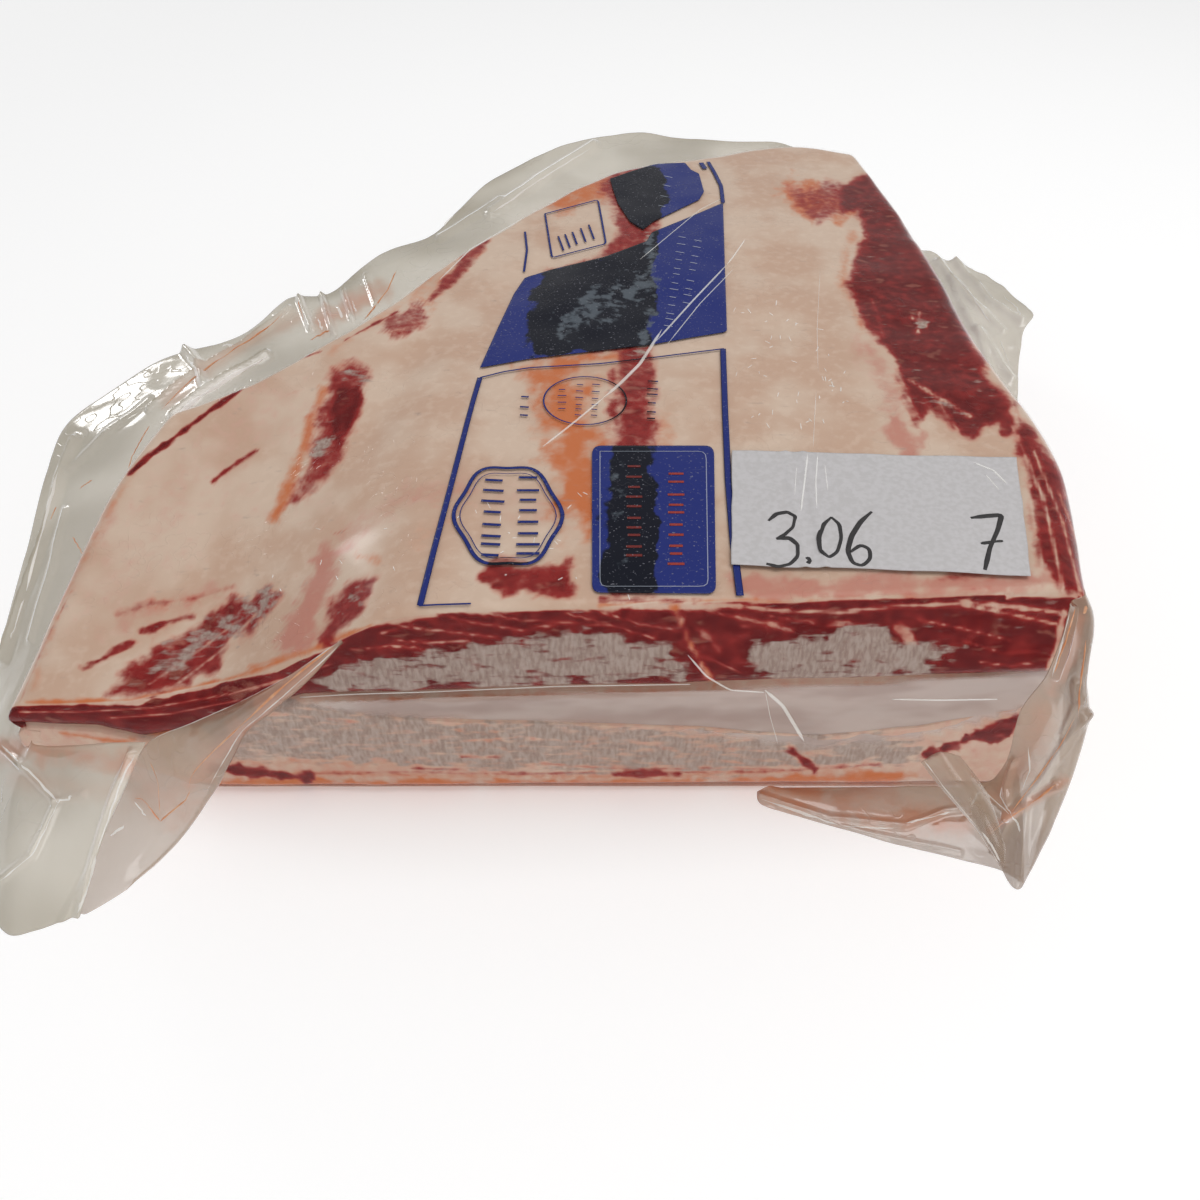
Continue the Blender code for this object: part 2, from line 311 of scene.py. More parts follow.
def rounding(inside, radius):
    """How far a quarter-round edge lies below the flat, a distance inside the outline."""
    short = np.clip(radius - inside, 0.0, radius)
    return radius - np.sqrt(radius * radius - short * short)


def edge_falls(across, back):
    """The rounding of the four edges together."""
    ones, zeros = np.ones_like(across), np.zeros_like(across)
    width = np.linalg.norm(plan_points(ones, back) - plan_points(zeros, back), axis=-1)
    depth = np.linalg.norm(plan_points(across, ones) - plan_points(across, zeros), axis=-1)
    falls = (
        rounding(back * depth, FRONT_EDGE_RADIUS),
        rounding((1 - back) * depth, SIDE_EDGE_RADIUS),
        rounding(across * width, SIDE_EDGE_RADIUS),
        rounding((1 - across) * width, SIDE_EDGE_RADIUS),
    )
    return np.minimum(np.sqrt(sum(f * f for f in falls)), SIDE_EDGE_RADIUS)


def film_height(x, y):
    """The height of the film on the pack's top, its rounded edges included."""
    across, back = plan_shares(x, y)
    return top_height(x, y) - edge_falls(across, back)


# Where the photograph shows a place of the pack, and back


def photo_pixel(points):
    """The photograph's pixel at which each point is seen: a pinhole view, looking down along +Y."""
    pitch = math.radians(CAMERA_PITCH_DEG)
    x, y, z = (points[..., k] - CAMERA_PLACE[k] for k in range(3))
    ahead = y * math.cos(pitch) - z * math.sin(pitch)
    down = -y * math.sin(pitch) - z * math.cos(pitch)
    middle = PHOTO_PIXELS / 2.0
    return middle + FOCAL_PIXELS * x / ahead, middle + FOCAL_PIXELS * down / ahead


def photo_ray(pixels):
    """The direction in which each pixel of the photograph looks: across, ahead and down."""
    pixels = np.asarray(pixels, float)
    pitch = math.radians(CAMERA_PITCH_DEG)
    u = (pixels[..., 0] - PHOTO_PIXELS / 2.0) / FOCAL_PIXELS
    v = (pixels[..., 1] - PHOTO_PIXELS / 2.0) / FOCAL_PIXELS
    return u, math.cos(pitch) - v * math.sin(pitch), math.sin(pitch) + v * math.cos(pitch)


def at_height(pixels, z):
    """The places at height z that these pixels show."""
    across, ahead, down = photo_ray(pixels)
    reach = (CAMERA_PLACE[2] - z) / down
    return CAMERA_PLACE[0] + across * reach, CAMERA_PLACE[1] + ahead * reach


def seen(stations):
    """The places that (pixel x, pixel y, height) stations show."""
    stations = np.asarray(stations, float)
    x, y = at_height(stations[:, :2], stations[:, 2])
    return np.stack([x, y, stations[:, 2]], axis=-1)


def on_top(pixels, lift=0.0):
    """The places on the film's top that these pixels show: the height is moved to the film's own."""
    z = np.full(np.shape(pixels)[:-1], PACK_HEIGHT)
    for _ in range(5):
        x, y = at_height(pixels, z)
        z = blend(z, film_height(x, y), 0.9)
    x, y = at_height(pixels, z)
    return np.stack([x, y, film_height(x, y) + lift], axis=-1)


def on_front(pixels, lift=0.0):
    """The places on the cut face that these pixels show."""
    across, ahead, down = photo_ray(pixels)
    y = np.full_like(across, FRONT_FACE_Y)
    for _ in range(8):
        reach = (y - CAMERA_PLACE[1]) / ahead
        x, z = CAMERA_PLACE[0] + across * reach, CAMERA_PLACE[2] - down * reach
        y = blend(y, profile(FRONT_SIDE, x) - face_lean(x, z) - lift, 0.7)
    return np.stack([x, y, z], axis=-1)


def smoothed(path, turns):
    """The path with each inner point moved to the mean of itself and its neighbours, a few times."""
    path = path.copy()
    for _ in range(turns):
        path[1:-1] = (path[:-2] + 2.0 * path[1:-1] + path[2:]) / 4.0
    return path


def facing_camera(path):
    """The direction from each point of a path to the camera."""
    towards = np.asarray(CAMERA_PLACE) - path
    return towards / np.linalg.norm(towards, axis=1, keepdims=True)


def laid_on(surface, pixels, lift, count=40):
    """A path of pixels laid on a surface: for each step its nearest point there, nearer the camera."""
    steps = polyline(pixels, count)
    points = surface.reshape(-1, 3)
    px, py = photo_pixel(points)
    away = np.linalg.norm(points - np.asarray(CAMERA_PLACE), axis=1)
    miss = (px[None] - steps[:, :1]) ** 2 + (py[None] - steps[:, 1:]) ** 2 + 0.4 * away[None]
    path = smoothed(points[np.argmin(miss, axis=1)], 4)
    return path + lift * facing_camera(path)


# Meshes


def grid_faces(rows, columns, first=0):
    """The quads of a grid of rows by columns of points, counted row by row."""
    i, j = np.meshgrid(np.arange(rows - 1), np.arange(columns - 1), indexing="ij")
    a = first + (i * columns + j).ravel()
    return np.stack([a, a + 1, a + columns + 1, a + columns], axis=-1)


def make_mesh(name, points, quads, triangles=None, marks=None, smooth=True):
    """A mesh from an array of points in millimetres, its faces and its named values at each point."""
    mesh = bpy.data.meshes.new(name)
    points = np.ascontiguousarray(points, float).reshape(-1, 3)
    corners = [quads.ravel()] + ([] if triangles is None else [triangles.ravel()])
    sizes = [np.full(len(quads), 4)] + ([] if triangles is None else [np.full(len(triangles), 3)])
    corners, sizes = np.concatenate(corners), np.concatenate(sizes)
    mesh.vertices.add(len(points))
    mesh.vertices.foreach_set("co", (points * MM).ravel())
    mesh.loops.add(len(corners))
    mesh.loops.foreach_set("vertex_index", corners.astype(np.int32))
    mesh.polygons.add(len(sizes))
    mesh.polygons.foreach_set("loop_start", np.concatenate([[0], np.cumsum(sizes)[:-1]]).astype(np.int32))
    mesh.update(calc_edges=True)
    if smooth:
        mesh.shade_smooth()
    for key, values in (marks or {}).items():
        held = mesh.attributes.new(key, "FLOAT", "POINT")
        held.data.foreach_set("value", np.ascontiguousarray(values, np.float32).ravel())
    return mesh


def add_piece(mesh, material, slot, node="sealed_bag", wall=0.0):
    """Puts the mesh in the scene as a piece that rides on the pack and stands for one of its solids.

    A sheet gets a wall of the given thickness, in millimetres, about its surface. Film casts no
    shadow and sends no light back to the beef, because it is clear.
    """
    piece = bpy.data.objects.new(mesh.name, mesh)
    bpy.context.scene.collection.objects.link(piece)
    mesh.materials.append(material)
    if wall:
        solid = piece.modifiers.new("wall", "SOLIDIFY")
        solid.thickness = wall * MM
        solid.offset = 0.0
    piece.visible_shadow = piece.visible_diffuse = piece.visible_glossy = slot != "bag_film"
    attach(piece, "root")
    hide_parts(node)


def spread(count, edges):
    """Shares from 0 to 1 that lie closer together near both ends, by the weight given to a sine."""
    c = np.linspace(-1.0, 1.0, count)
    return 0.5 + 0.5 * blend(c, np.sin(c * math.pi / 2.0), edges)


def rim_of(grid):
    """The points round a grid's edge, anticlockwise from its first corner."""
    return np.concatenate([grid[0, :-1], grid[:-1, -1], grid[-1, :0:-1], grid[:0:-1, 0]])


def closed_slab(columns, rows, rings, height, foot, wall, inset):
    """A closed body: a grid over the outline, a wall of rings below its rim, and a floor to a pole.

    height(x, y) and foot(x, y) give the top and the underside, and wall(x, y, z, share) gives how
    far a point of the wall stands out or in. inset draws the whole outline in.
    """
    pad = inset / PLAN_SPAN[1]
    across, back = (pad + (1 - 2 * pad) * spread(count, 0.5) for count in (columns, rows))
    a, b = np.meshgrid(across, back)
    plan = plan_points(a, b)
    x, y = plan[..., 0], plan[..., 1]
    top = np.stack([x, y, height(x, y) - edge_falls(a, b)], axis=-1)
    number = np.arange(rows * columns).reshape(rows, columns)
    rim, rim_number = rim_of(top), rim_of(number)
    ahead, behind = np.roll(rim, -1, axis=0), np.roll(rim, 1, axis=0)
    run = ahead[:, :2] - behind[:, :2]
    outward = np.stack([run[:, 1], -run[:, 0]], axis=-1)
    outward /= np.maximum(np.linalg.norm(outward, axis=1, keepdims=True), 1e-9)

    shares = np.linspace(0.0, 1.0, rings + 1)[1:, None]
    low = foot(rim[:, 0], rim[:, 1])[None]
    z = blend(rim[None, :, 2], low, shares)
    out = wall(rim[None, :, 0], rim[None, :, 1], z, shares)
    out = out - rounding(np.clip(z - low, 0.0, None), FOOT_EDGE_RADIUS)
    lean = near_front(rim[None, :, 0], rim[None, :, 1], LEAN_REACH, LEAN_REACH)
    side_x = rim[None, :, 0] + outward[None, :, 0] * out
    side_y = rim[None, :, 1] + outward[None, :, 1] * out - lean * face_lean(rim[None, :, 0], z)
    sides = np.stack([side_x, side_y, z], axis=-1)
    count = len(rim)
    middle = sides[-1, :, :2].mean(axis=0)
    inner = np.linspace(0.0, 1.0, 7)[1:-1, None, None]
    floor_plan = blend(sides[-1, :, :2][None], middle, inner)
    floor_z = foot(floor_plan[..., 0], floor_plan[..., 1])
    floor = np.concatenate([floor_plan, floor_z[..., None]], axis=-1)
    pole = np.array([[middle[0], middle[1], float(foot(middle[0], middle[1]))]])

    first = rows * columns
    ring_number = first + np.arange((rings + len(floor)) * count).reshape(-1, count)
    loops = np.vstack([rim_number[None], ring_number])
    upper, lower = loops[:-1], loops[1:]
    walls = np.stack([upper, lower, np.roll(lower, -1, axis=1), np.roll(upper, -1, axis=1)], axis=-1)
    last = loops[-1]
    tip = np.stack([last, np.full_like(last, first + ring_number.size), np.roll(last, -1)], axis=-1)
    points = np.vstack([top.reshape(-1, 3), sides.reshape(-1, 3), floor.reshape(-1, 3), pole])
    return points, np.vstack([grid_faces(rows, columns), walls.reshape(-1, 4)]), tip, first


def ribbon(path, widths, lift, up=(0.0, 0.0, 1.0), section=6, ends=0.35):
    """A low closed strip: an arched section carried along a path, narrowing to its ends.

    up is one direction, or one for each point of the path. Its underside lies a little below it.
    """
    path = np.asarray(path, float)
    up = np.broadcast_to(np.asarray(up, float), path.shape)
    side = np.cross(up, np.gradient(path, axis=0))
    side /= np.maximum(np.linalg.norm(side, axis=1, keepdims=True), 1e-9)
    turn = np.linspace(0.0, 2.0 * math.pi, 2 * section, endpoint=False)
    rise = np.where(np.sin(turn) > 0.0, np.sin(turn), 0.25 * np.sin(turn))
    share = np.linspace(0.0, 1.0, len(path))
    taper = blend(ends, 1.0, smoothstep(np.minimum(share, 1.0 - share) * 8.0))
    half = (np.broadcast_to(np.asarray(widths, float), len(path)) * taper)[:, None, None] / 2.0
    high = np.broadcast_to(np.asarray(lift, float), len(path))[:, None, None]
    points = path[:, None] + side[:, None] * np.cos(turn)[None, :, None] * half
    points = points + up[:, None] * rise[None, :, None] * high
    rows, ring = len(path), 2 * section
    number = np.arange(rows * ring).reshape(rows, ring)
    a, b = number[:-1], number[1:]
    quads = np.stack([a, np.roll(a, -1, axis=1), np.roll(b, -1, axis=1), b], axis=-1).reshape(-1, 4)
    first, last = number[0], number[-1]
    caps = [
        np.stack([np.full(ring, rows * ring), np.roll(first, -1), first], axis=-1),
        np.stack([np.full(ring, rows * ring + 1), last, np.roll(last, -1)], axis=-1),
    ]
    return np.vstack([points.reshape(-1, 3), path[:1], path[-1:]]), quads, np.vstack(caps)


def joined(parts):
    """Several sets of points, quads and triangles as one."""
    points, quads, triangles, first = [], [], [], 0
    for made, four, three in parts:
        points.append(made)
        quads.append(four + first)
        triangles.append(three + first)
        first += len(made)
    return np.vstack(points), np.vstack(quads), np.vstack(triangles)


def strokes_on_top(lines, lift, steps, high, section=4, ends=1.0):
    """Ribbons on the film's top along paths of pixels, each with its width in millimetres."""
    pixels = np.stack([polyline(path, steps) for path, width in lines])
    both = zip(on_top(pixels, lift), lines)
    return [ribbon(smoothed(p, 1), width, high, section=section, ends=ends) for p, (_, width) in both]


# Marks on the beef, by the photograph's pixels: lean that shows through the fat, and stains.
# Each outline has its softness and ragging in pixels and its strength, and each streak its
# half width, softness and strength.

RIGHT_LEAN = [
    (838, 184), (868, 174), (884, 184), (910, 228), (948, 284), (968, 326),
    (986, 372), (1012, 405), (1020, 430), (1000, 428), (986, 424), (976, 439), (950, 433), (930, 408),
    (917, 424), (906, 404), (900, 380), (896, 358), (872, 334), (858, 310), (845, 285), (852, 262),
    (862, 236), (856, 212), (840, 214),
]
ORANGE_LEAN = [(784, 184), (815, 184), (846, 183), (850, 212), (820, 222), (796, 208)]
CORNER_LEAN = [
    (1014, 404), (1036, 430), (1066, 477), (1090, 530), (1098, 596), (1074, 602), (1052, 584),
    (1036, 556), (1026, 500), (1014, 450),
]
FIRST_RIB = [
    (330, 366), (352, 356), (370, 366), (366, 392), (352, 428), (338, 462), (322, 486), (300, 506),
    (280, 510), (291, 488), (306, 462), (314, 428), (322, 394),
]
RIB_BLOCK = [(332, 388), (362, 380), (364, 400), (352, 430), (342, 448), (326, 442), (328, 412)]
FRONT_LEFT_LEAN = [
    (106, 696), (122, 676), (150, 650), (186, 630), (205, 612), (233, 600), (268, 590), (284, 594),
    (262, 624), (236, 644), (226, 660), (206, 676), (180, 688), (134, 698),
]
FOLD_LEAN = [(314, 640), (330, 604), (346, 582), (376, 578), (362, 606), (340, 636), (330, 652)]
PRINTED_LEAN = [
    (596, 180), (655, 160), (664, 200), (656, 260), (652, 345), (656, 440), (657, 600), (600, 604),
    (606, 470), (610, 445), (612, 352), (530, 360), (532, 300), (552, 272), (604, 256), (616, 214),
]
BLOTCHES = [(478, 578), (500, 560), (520, 572), (545, 566), (572, 562), (574, 592), (540, 596), (505, 600)]
MOTTLED_PATCH = [(385, 316), (420, 304), (424, 320), (408, 342), (386, 345)]
LEAN_OUTLINES = [
    (RIGHT_LEAN, 9, 4, 1),
    (ORANGE_LEAN, 9, 4, 0.62),
    (CORNER_LEAN, 12, 7, 0.9),
    (FIRST_RIB, 9, 5, 0.72),
    (RIB_BLOCK, 6, 3, 1),
    (FRONT_LEFT_LEAN, 10, 7, 0.8),
    (FOLD_LEAN, 9, 5, 0.8),
    (PRINTED_LEAN, 10, 7, 0.75),
    (BLOTCHES, 9, 9, 0.8),
    (MOTTLED_PATCH, 7, 9, 0.6),
]
LEAN_STREAKS = [
    ([(484, 241), (466, 262), (446, 284), (431, 299)], 5, 5, 0.72),
    ([(129, 474), (160, 448), (187, 428), (214, 408), (241, 389)], 2.6, 2.5, 0.95),
    ([(268, 370), (321, 351)], 1, 1.6, 0.7),
    ([(345, 340), (399, 311)], 1.4, 1.8, 0.8),
    ([(212, 482), (232, 466), (257, 450)], 2.2, 3, 0.8),
    ([(83, 669), (108, 656), (134, 642)], 4, 3.5, 0.8),
    ([(142, 632), (166, 622), (193, 616)], 3.5, 4, 0.75),
    ([(118, 614), (150, 604), (196, 598), (233, 586)], 3, 6, 0.55),
    ([(150, 640), (190, 606), (240, 584)], 6, 9, 0.3),
    ([(993, 402), (1006, 430)], 5, 4, 0.8),
    ([(600, 600), (650, 601), (696, 600)], 3, 3, 0.62),
    ([(786, 597), (900, 594), (990, 588)], 1.6, 4, 0.35),
    ([(930, 580), (990, 574)], 4, 7, 0.5),
    ([(20, 702), (34, 668), (50, 632), (72, 590)], 0.8, 1.6, 0.55),
    ([(289, 526), (310, 521), (322, 528), (336, 533), (346, 531)], 0.7, 1.2, 0.6),
]
PALE_STREAKS = [
    ([(1018, 436), (1044, 500), (1064, 592)], 1.2, 2.5, 0.75),
    ([(1034, 452), (1062, 520), (1080, 590)], 1, 2.5, 0.7),
    ([(1030, 500), (1048, 590)], 1.2, 3, 0.6),
    ([(1058, 490), (1084, 560)], 0.8, 2, 0.6),
    ([(909, 380), (940, 398), (970, 416)], 1.6, 3, 0.8),
    ([(896, 366), (914, 410), (926, 432)], 1.4, 4, 0.6),
    ([(936, 398), (958, 430)], 1.2, 3.5, 0.6),
    ([(912, 318), (926, 326)], 2, 3, 0.9),
    ([(919, 314), (918, 332)], 1.4, 2.5, 0.8),
    ([(872, 300), (884, 336)], 0.8, 3, 0.4),
    ([(616, 356), (620, 400), (618, 440)], 2.5, 6, 0.4),
    ([(150, 684), (200, 650), (236, 622)], 0.8, 2, 0.5),
    ([(180, 682), (222, 650), (258, 612)], 0.8, 2, 0.5),
]
ORANGE_STAINS = [
    ([(322, 392), (306, 440), (292, 478), (274, 520)], 5, 8, 0.85),
    ([(488, 236), (456, 272), (428, 302)], 8, 10, 0.5),
    ([(552, 204), (580, 192), (610, 184)], 12, 10, 0.8),
    ([(556, 372), (566, 420), (576, 470), (584, 500)], 26, 34, 1),
    ([(535, 357), (600, 358), (634, 356)], 5, 5, 0.8),
    ([(792, 194), (822, 200), (838, 206)], 14, 12, 1),
    ([(852, 232), (842, 280), (862, 330)], 5, 8, 0.5),
    ([(27, 702), (134, 702), (233, 678), (300, 654), (345, 636), (370, 626)], 3, 4, 0.85),
    ([(600, 606), (660, 603), (740, 602), (840, 604), (940, 600)], 3, 4, 0.7),
    ([(1052, 470), (1085, 560), (1088, 600)], 7, 9, 0.6),
    ([(136, 470), (108, 512), (62, 600), (32, 690)], 3, 8, 0.5),
    ([(376, 560), (356, 556)], 5, 6, 0.6),
    ([(300, 652), (250, 668)], 3, 4, 0.7),
    ([(524, 194), (470, 232), (410, 300), (330, 352)], 4, 8, 0.45),
    ([(160, 604), (150, 640)], 10, 20, 0.25),
    ([(664, 420), (664, 460)], 8, 10, 0.5),
    ([(470, 500), (420, 540)], 10, 20, 0.3),
]
PINK_FLUSHES_AND_SHADE = [
    ([(294, 640), (312, 596), (336, 556)], 12, 10, 0.95),
    ([(40, 640), (60, 590), (108, 520)], 12, 22, 0.5),
    ([(868, 345), (892, 396), (905, 440)], 12, 18, 0.6),
    ([(896, 424), (908, 446)], 14, 10, 0.9),
    ([(740, 586), (860, 588), (1060, 580)], 12, 12, 0.9),
    ([(340, 540), (400, 500), (470, 486)], 12, 22, 0.5),
    ([(150, 560), (230, 520), (320, 500)], 10, 26, 0.3),
    ([(500, 500), (560, 520)], 14, 18, 0.4),
    ([(1004, 400), (1022, 440)], 6, 6, 0.8),
    ([(196, 470), (290, 400)], 16, 26, 0.3),
    ([(120, 620), (210, 590)], 10, 12, 0.5),
    # A broad wash over the top's left: painted shade, darker towards the left, with a pink tint
    ([(110, 600), (170, 500), (280, 410)], 40, 50, 0.3),
]
FROSTED_PLACES = [
    ([(170, 664), (214, 634), (268, 602)], 14, 12, 0.7),
    ([(120, 690), (180, 672)], 5, 8, 0.35),
    ([(350, 604), (360, 590)], 8, 8, 0.3),
    ([(326, 443), (314, 452)], 7, 5, 0.85),
    ([(350, 372), (362, 380)], 6, 6, 0.5),
    ([(566, 322), (600, 300), (640, 284)], 14, 20, 0.75),
    ([(648, 232), (656, 300), (640, 348)], 5, 9, 0.75),
    ([(614, 470), (626, 560)], 9, 16, 0.4),
    ([(924, 396), (972, 418)], 2, 4, 0.8),
    ([(919, 322), (922, 324)], 4, 5, 0.85),
    ([(916, 400), (950, 404)], 2, 3, 0.6),
    ([(978, 380), (980, 392)], 3, 4, 0.5),
]

# Marks on the cut faces of the two slabs, and the edge where the top ends and they begin
FACE_EDGE = [
    (0, 712), (16, 706), (129, 701), (230, 680), (289, 670), (312, 656), (340, 645), (378, 626),
    (404, 616), (471, 614), (595, 609), (660, 601), (755, 602), (844, 606), (913, 607), (970, 604),
    (1019, 597), (1073, 597), (1100, 600),
]
UPPER_FROST = [
    (316, 680), (345, 668), (395, 657), (440, 651), (480, 644), (520, 636), (566, 632), (608, 636),
    (650, 649), (682, 663), (680, 676), (600, 681), (540, 685), (480, 689), (380, 690), (322, 689),
]
RIGHT_FROST = [
    (752, 658), (762, 646), (790, 638), (820, 634), (841, 631), (886, 631), (898, 640), (929, 642),
    (966, 646), (955, 656), (922, 663), (930, 674), (880, 679), (787, 682), (756, 672),
]
LOWER_FROST = [
    (180, 706), (300, 700), (394, 716), (528, 722), (720, 732), (880, 738), (940, 748), (890, 766),
    (700, 773), (520, 770), (380, 764), (230, 758),
]
FACE_FAT = [
    ([(375, 622), (440, 612), (540, 607), (640, 606), (740, 606)], 3, 3, 1),
    ([(718, 603), (780, 611), (840, 612), (900, 606), (960, 604), (1010, 614), (1056, 624)], 1.4, 2.5, 0.9),
    ([(960, 602), (1040, 610), (1066, 614)], 2.2, 3, 0.9),
    ([(10, 703), (134, 703), (233, 679), (330, 648)], 2, 2, 1),
    ([(0, 734), (60, 733), (110, 741), (150, 744)], 5, 4, 1),
    ([(678, 612), (688, 640), (700, 662), (712, 682)], 2.2, 3, 0.7),
    ([(712, 612), (760, 622), (790, 630)], 1.6, 3, 0.7),
    ([(898, 628), (912, 644)], 5, 3, 0.6),
    ([(1064, 612), (1056, 650), (1048, 676)], 3, 3, 0.8),
    ([(700, 630), (720, 650)], 3, 3, 0.5),
]
FACE_VEINS = [
    [(380, 634), (400, 626), (430, 630), (462, 633), (500, 638)],
    [(395, 640), (430, 643), (470, 640)],
    [(440, 614), (470, 622), (520, 630), (560, 624)],
    [(478, 612), (520, 620), (556, 622), (610, 626)],
    [(560, 612), (600, 622), (660, 640)],
    [(600, 612), (640, 624), (676, 630)],
    [(350, 650), (390, 646), (420, 648)],
    [(20, 712), (80, 712), (150, 708), (230, 694), (280, 680)],
    [(110, 718), (170, 714), (240, 700)],
    [(250, 690), (290, 678), (330, 664)],
    [(740, 626), (790, 620), (850, 622)],
    [(770, 616), (830, 626), (880, 622)],
    [(920, 620), (960, 628), (1010, 640)],
    [(960, 640), (1000, 652), (1040, 650)],
    [(980, 662), (1010, 666), (1040, 662)],
    [(690, 650), (720, 664), (740, 672)],
]
LOWER_LEAN = [
    ([(213, 768), (250, 772), (308, 778)], 5, 4, 1),
    ([(340, 774), (380, 772), (410, 775)], 1.5, 3, 0.6),
    ([(410, 768), (465, 770)], 1.6, 2.5, 0.7),
    ([(262, 774), (400, 772), (520, 774), (640, 772), (760, 772), (880, 765)], 1.2, 3, 0.7),
    ([(500, 772), (560, 774)], 1.2, 2.5, 0.6),
    ([(540, 763), (600, 768), (690, 769)], 1.2, 2.5, 0.6),
    ([(612, 774), (680, 774)], 3, 3, 0.8),
    ([(700, 768), (800, 770), (880, 764)], 1.6, 3, 0.6),
    ([(792, 750), (814, 770)], 4, 3, 0.9),
    ([(928, 752), (972, 738), (1016, 722)], 8, 4, 1),
    ([(462, 757), (500, 757)], 1, 2, 0.8),
    ([(230, 712), (300, 716), (360, 722)], 1, 3, 0.5),
    ([(420, 742), (520, 738), (600, 744)], 1.5, 4, 0.3),
    ([(640, 748), (740, 748), (830, 756)], 2, 5, 0.35),
]
FACE_STAINS = [
    ([(675, 606), (688, 640), (707, 667), (716, 684)], 5, 6, 0.8),
    ([(8, 708), (16, 722)], 7, 7, 0.9),
    ([(1000, 672), (1050, 664)], 5, 8, 0.5),
    ([(875, 775), (915, 775)], 3, 5, 0.7),
    ([(205, 784), (420, 786), (700, 786), (900, 776)], 6, 5, 0.9),
    ([(240, 772), (440, 776), (640, 777), (860, 768)], 2, 5, 0.6),
    ([(461, 730), (528, 752)], 9, 12, 0.5),
    ([(200, 762), (500, 764), (800, 762)], 3, 7, 0.45),
    ([(360, 700), (680, 690), (900, 684), (1030, 676)], 1.4, 3, 0.7),
    ([(60, 733), (120, 742), (170, 730)], 2, 4, 0.8),
]


def outlined(px, py, outlines, seed):
    """How far each pixel lies inside ragged outlines, by their softness, ragging and strength."""
    total = np.zeros(np.shape(px))
    ragged_edge = fractal(px, py, 18.0, seed, 4)
    for outline, soft, rag, strength in outlines:
        inside = inside_outline(px, py, np.asarray(outline)) + rag * ragged_edge
        total = np.maximum(total, strength * smoothstep(0.5 + inside / (2.0 * soft)))
    return total


def streaked(px, py, streaks, seed):
    """How near each pixel lies to ragged lines, by their half width, softness and strength."""
    total = np.zeros(np.shape(px))
    ragged_edge = fractal(px, py, 14.0, seed, 4)
    for path, half, soft, strength in streaks:
        away = distance_to_line(px, py, path) - half * (1.0 + 0.7 * ragged_edge)
        total = np.maximum(total, strength * smoothstep(0.5 - away / (2.0 * soft)))
    return total


def top_marks(points):
    """What shows on the top at each point: lean, orange stain, pink flush with a wash of painted shade over
    the left, and frost.
    """
    px, py = photo_pixel(points)
    lean = np.maximum(outlined(px, py, LEAN_OUTLINES, 21), streaked(px, py, LEAN_STREAKS, 31))
    lean = lean * (1.0 - streaked(px, py, PALE_STREAKS, 35))
    return {
        "lean": lean,
        "stain": streaked(px, py, ORANGE_STAINS, 41),
        "pink_and_shade": streaked(px, py, PINK_FLUSHES_AND_SHADE, 51),
        "frost": streaked(px, py, FROSTED_PLACES, 61),
    }


def face_marks(points, lower):
    """What shows on a cut face at each point: lean nearly all over, with fat, stain and frost."""
    px, py = photo_pixel(points)
    if lower:
        lean = streaked(px, py, LOWER_LEAN, 81)
        frost = outlined(px, py, [(LOWER_FROST, 8.0, 5.0, 0.9)], 71) * (1.0 - lean)
    else:
        veins = [(vein, 0.6, 1.6, 0.7) for vein in FACE_VEINS]
        lean = 1.0 - streaked(px, py, FACE_FAT + veins, 82)
        frost = outlined(px, py, [(UPPER_FROST, 8.0, 8.0, 1.0), (RIGHT_FROST, 8.0, 8.0, 1.0)], 72)
    stain = streaked(px, py, FACE_STAINS, 91)
    return {"lean": lean, "stain": stain, "pink_and_shade": np.full(px.shape, 0.45), "frost": frost}


def side_marks(points, turn):
    """What shows on the sides away from the cut face: bands of lean between fat, ragged."""
    z = points[..., 2]
    wave = 6.0 * noise(turn, z * 0.2, 38.0, 101)
    band = smoothstep(0.5 + (9.0 - np.abs(z - 44.0 - wave)) / 6.0)
    second = smoothstep(0.5 + (6.0 - np.abs(z - 17.0 - wave)) / 6.0)
    broken = smoothstep(0.5 + 0.9 * fractal(turn, z * 3.0, 34.0, 111, 4))
    lean = 0.85 * np.maximum(band, second) * broken
    stain = 0.5 * broken * (1 - lean)
    return {"lean": lean, "stain": stain, "pink_and_shade": 0.5 * broken, "frost": 0.3 * (1 - broken)}


# Shader helpers


def feed(tree, node, values):
    """Sets each named input of a node to a value, or links it to a socket."""
    for key, value in values.items():
        if isinstance(value, bpy.types.NodeSocket):
            tree.links.new(value, node.inputs[key])
        else:
            node.inputs[key].default_value = value


def put(tree, kind, values=None, **settings):
    """A new node in the tree, with its settings and its inputs."""
    made = tree.nodes.new(kind)
    for key, value in settings.items():
        setattr(made, key, value)
    feed(tree, made, values or {})
    return made


def sums(tree, operation, *terms, clamp=False):
    """The output of a Math node for the terms, which are numbers or sockets."""
    values = dict(enumerate(terms))
    return put(tree, "ShaderNodeMath", values, operation=operation, use_clamp=clamp).outputs[0]


def mixed(tree, share, first, second):
    """A colour between two others by a share."""
    return put(tree, "ShaderNodeMix", {0: share, 6: first, 7: second}, data_type="RGBA").outputs[2]


def ranged(tree, value, low, high, to_low=0.0, to_high=1.0):
    """The value moved from one range to another by a smoothstep, and held within it."""
    values = {"Value": value, "From Min": low, "From Max": high, "To Min": to_low, "To Max": to_high}
    return put(tree, "ShaderNodeMapRange", values, interpolation_type="SMOOTHSTEP").outputs["Result"]


def cloud(tree, where, scale, detail):
    """The value of a noise texture."""
    values = {"Vector": where, "Scale": scale, "Detail": detail}
    return put(tree, "ShaderNodeTexNoise", values).outputs["Fac"]


def drawn_out(tree, where, shares):
    """Coordinates multiplied by a share for each axis, which draws a texture out along the small ones."""
    return put(tree, "ShaderNodeVectorMath", {0: where, 1: shares}, operation="MULTIPLY").outputs[0]


def read_mark(tree, name):
    """The value that the mesh holds under this name."""
    return put(tree, "ShaderNodeAttribute", attribute_name=name).outputs["Fac"]


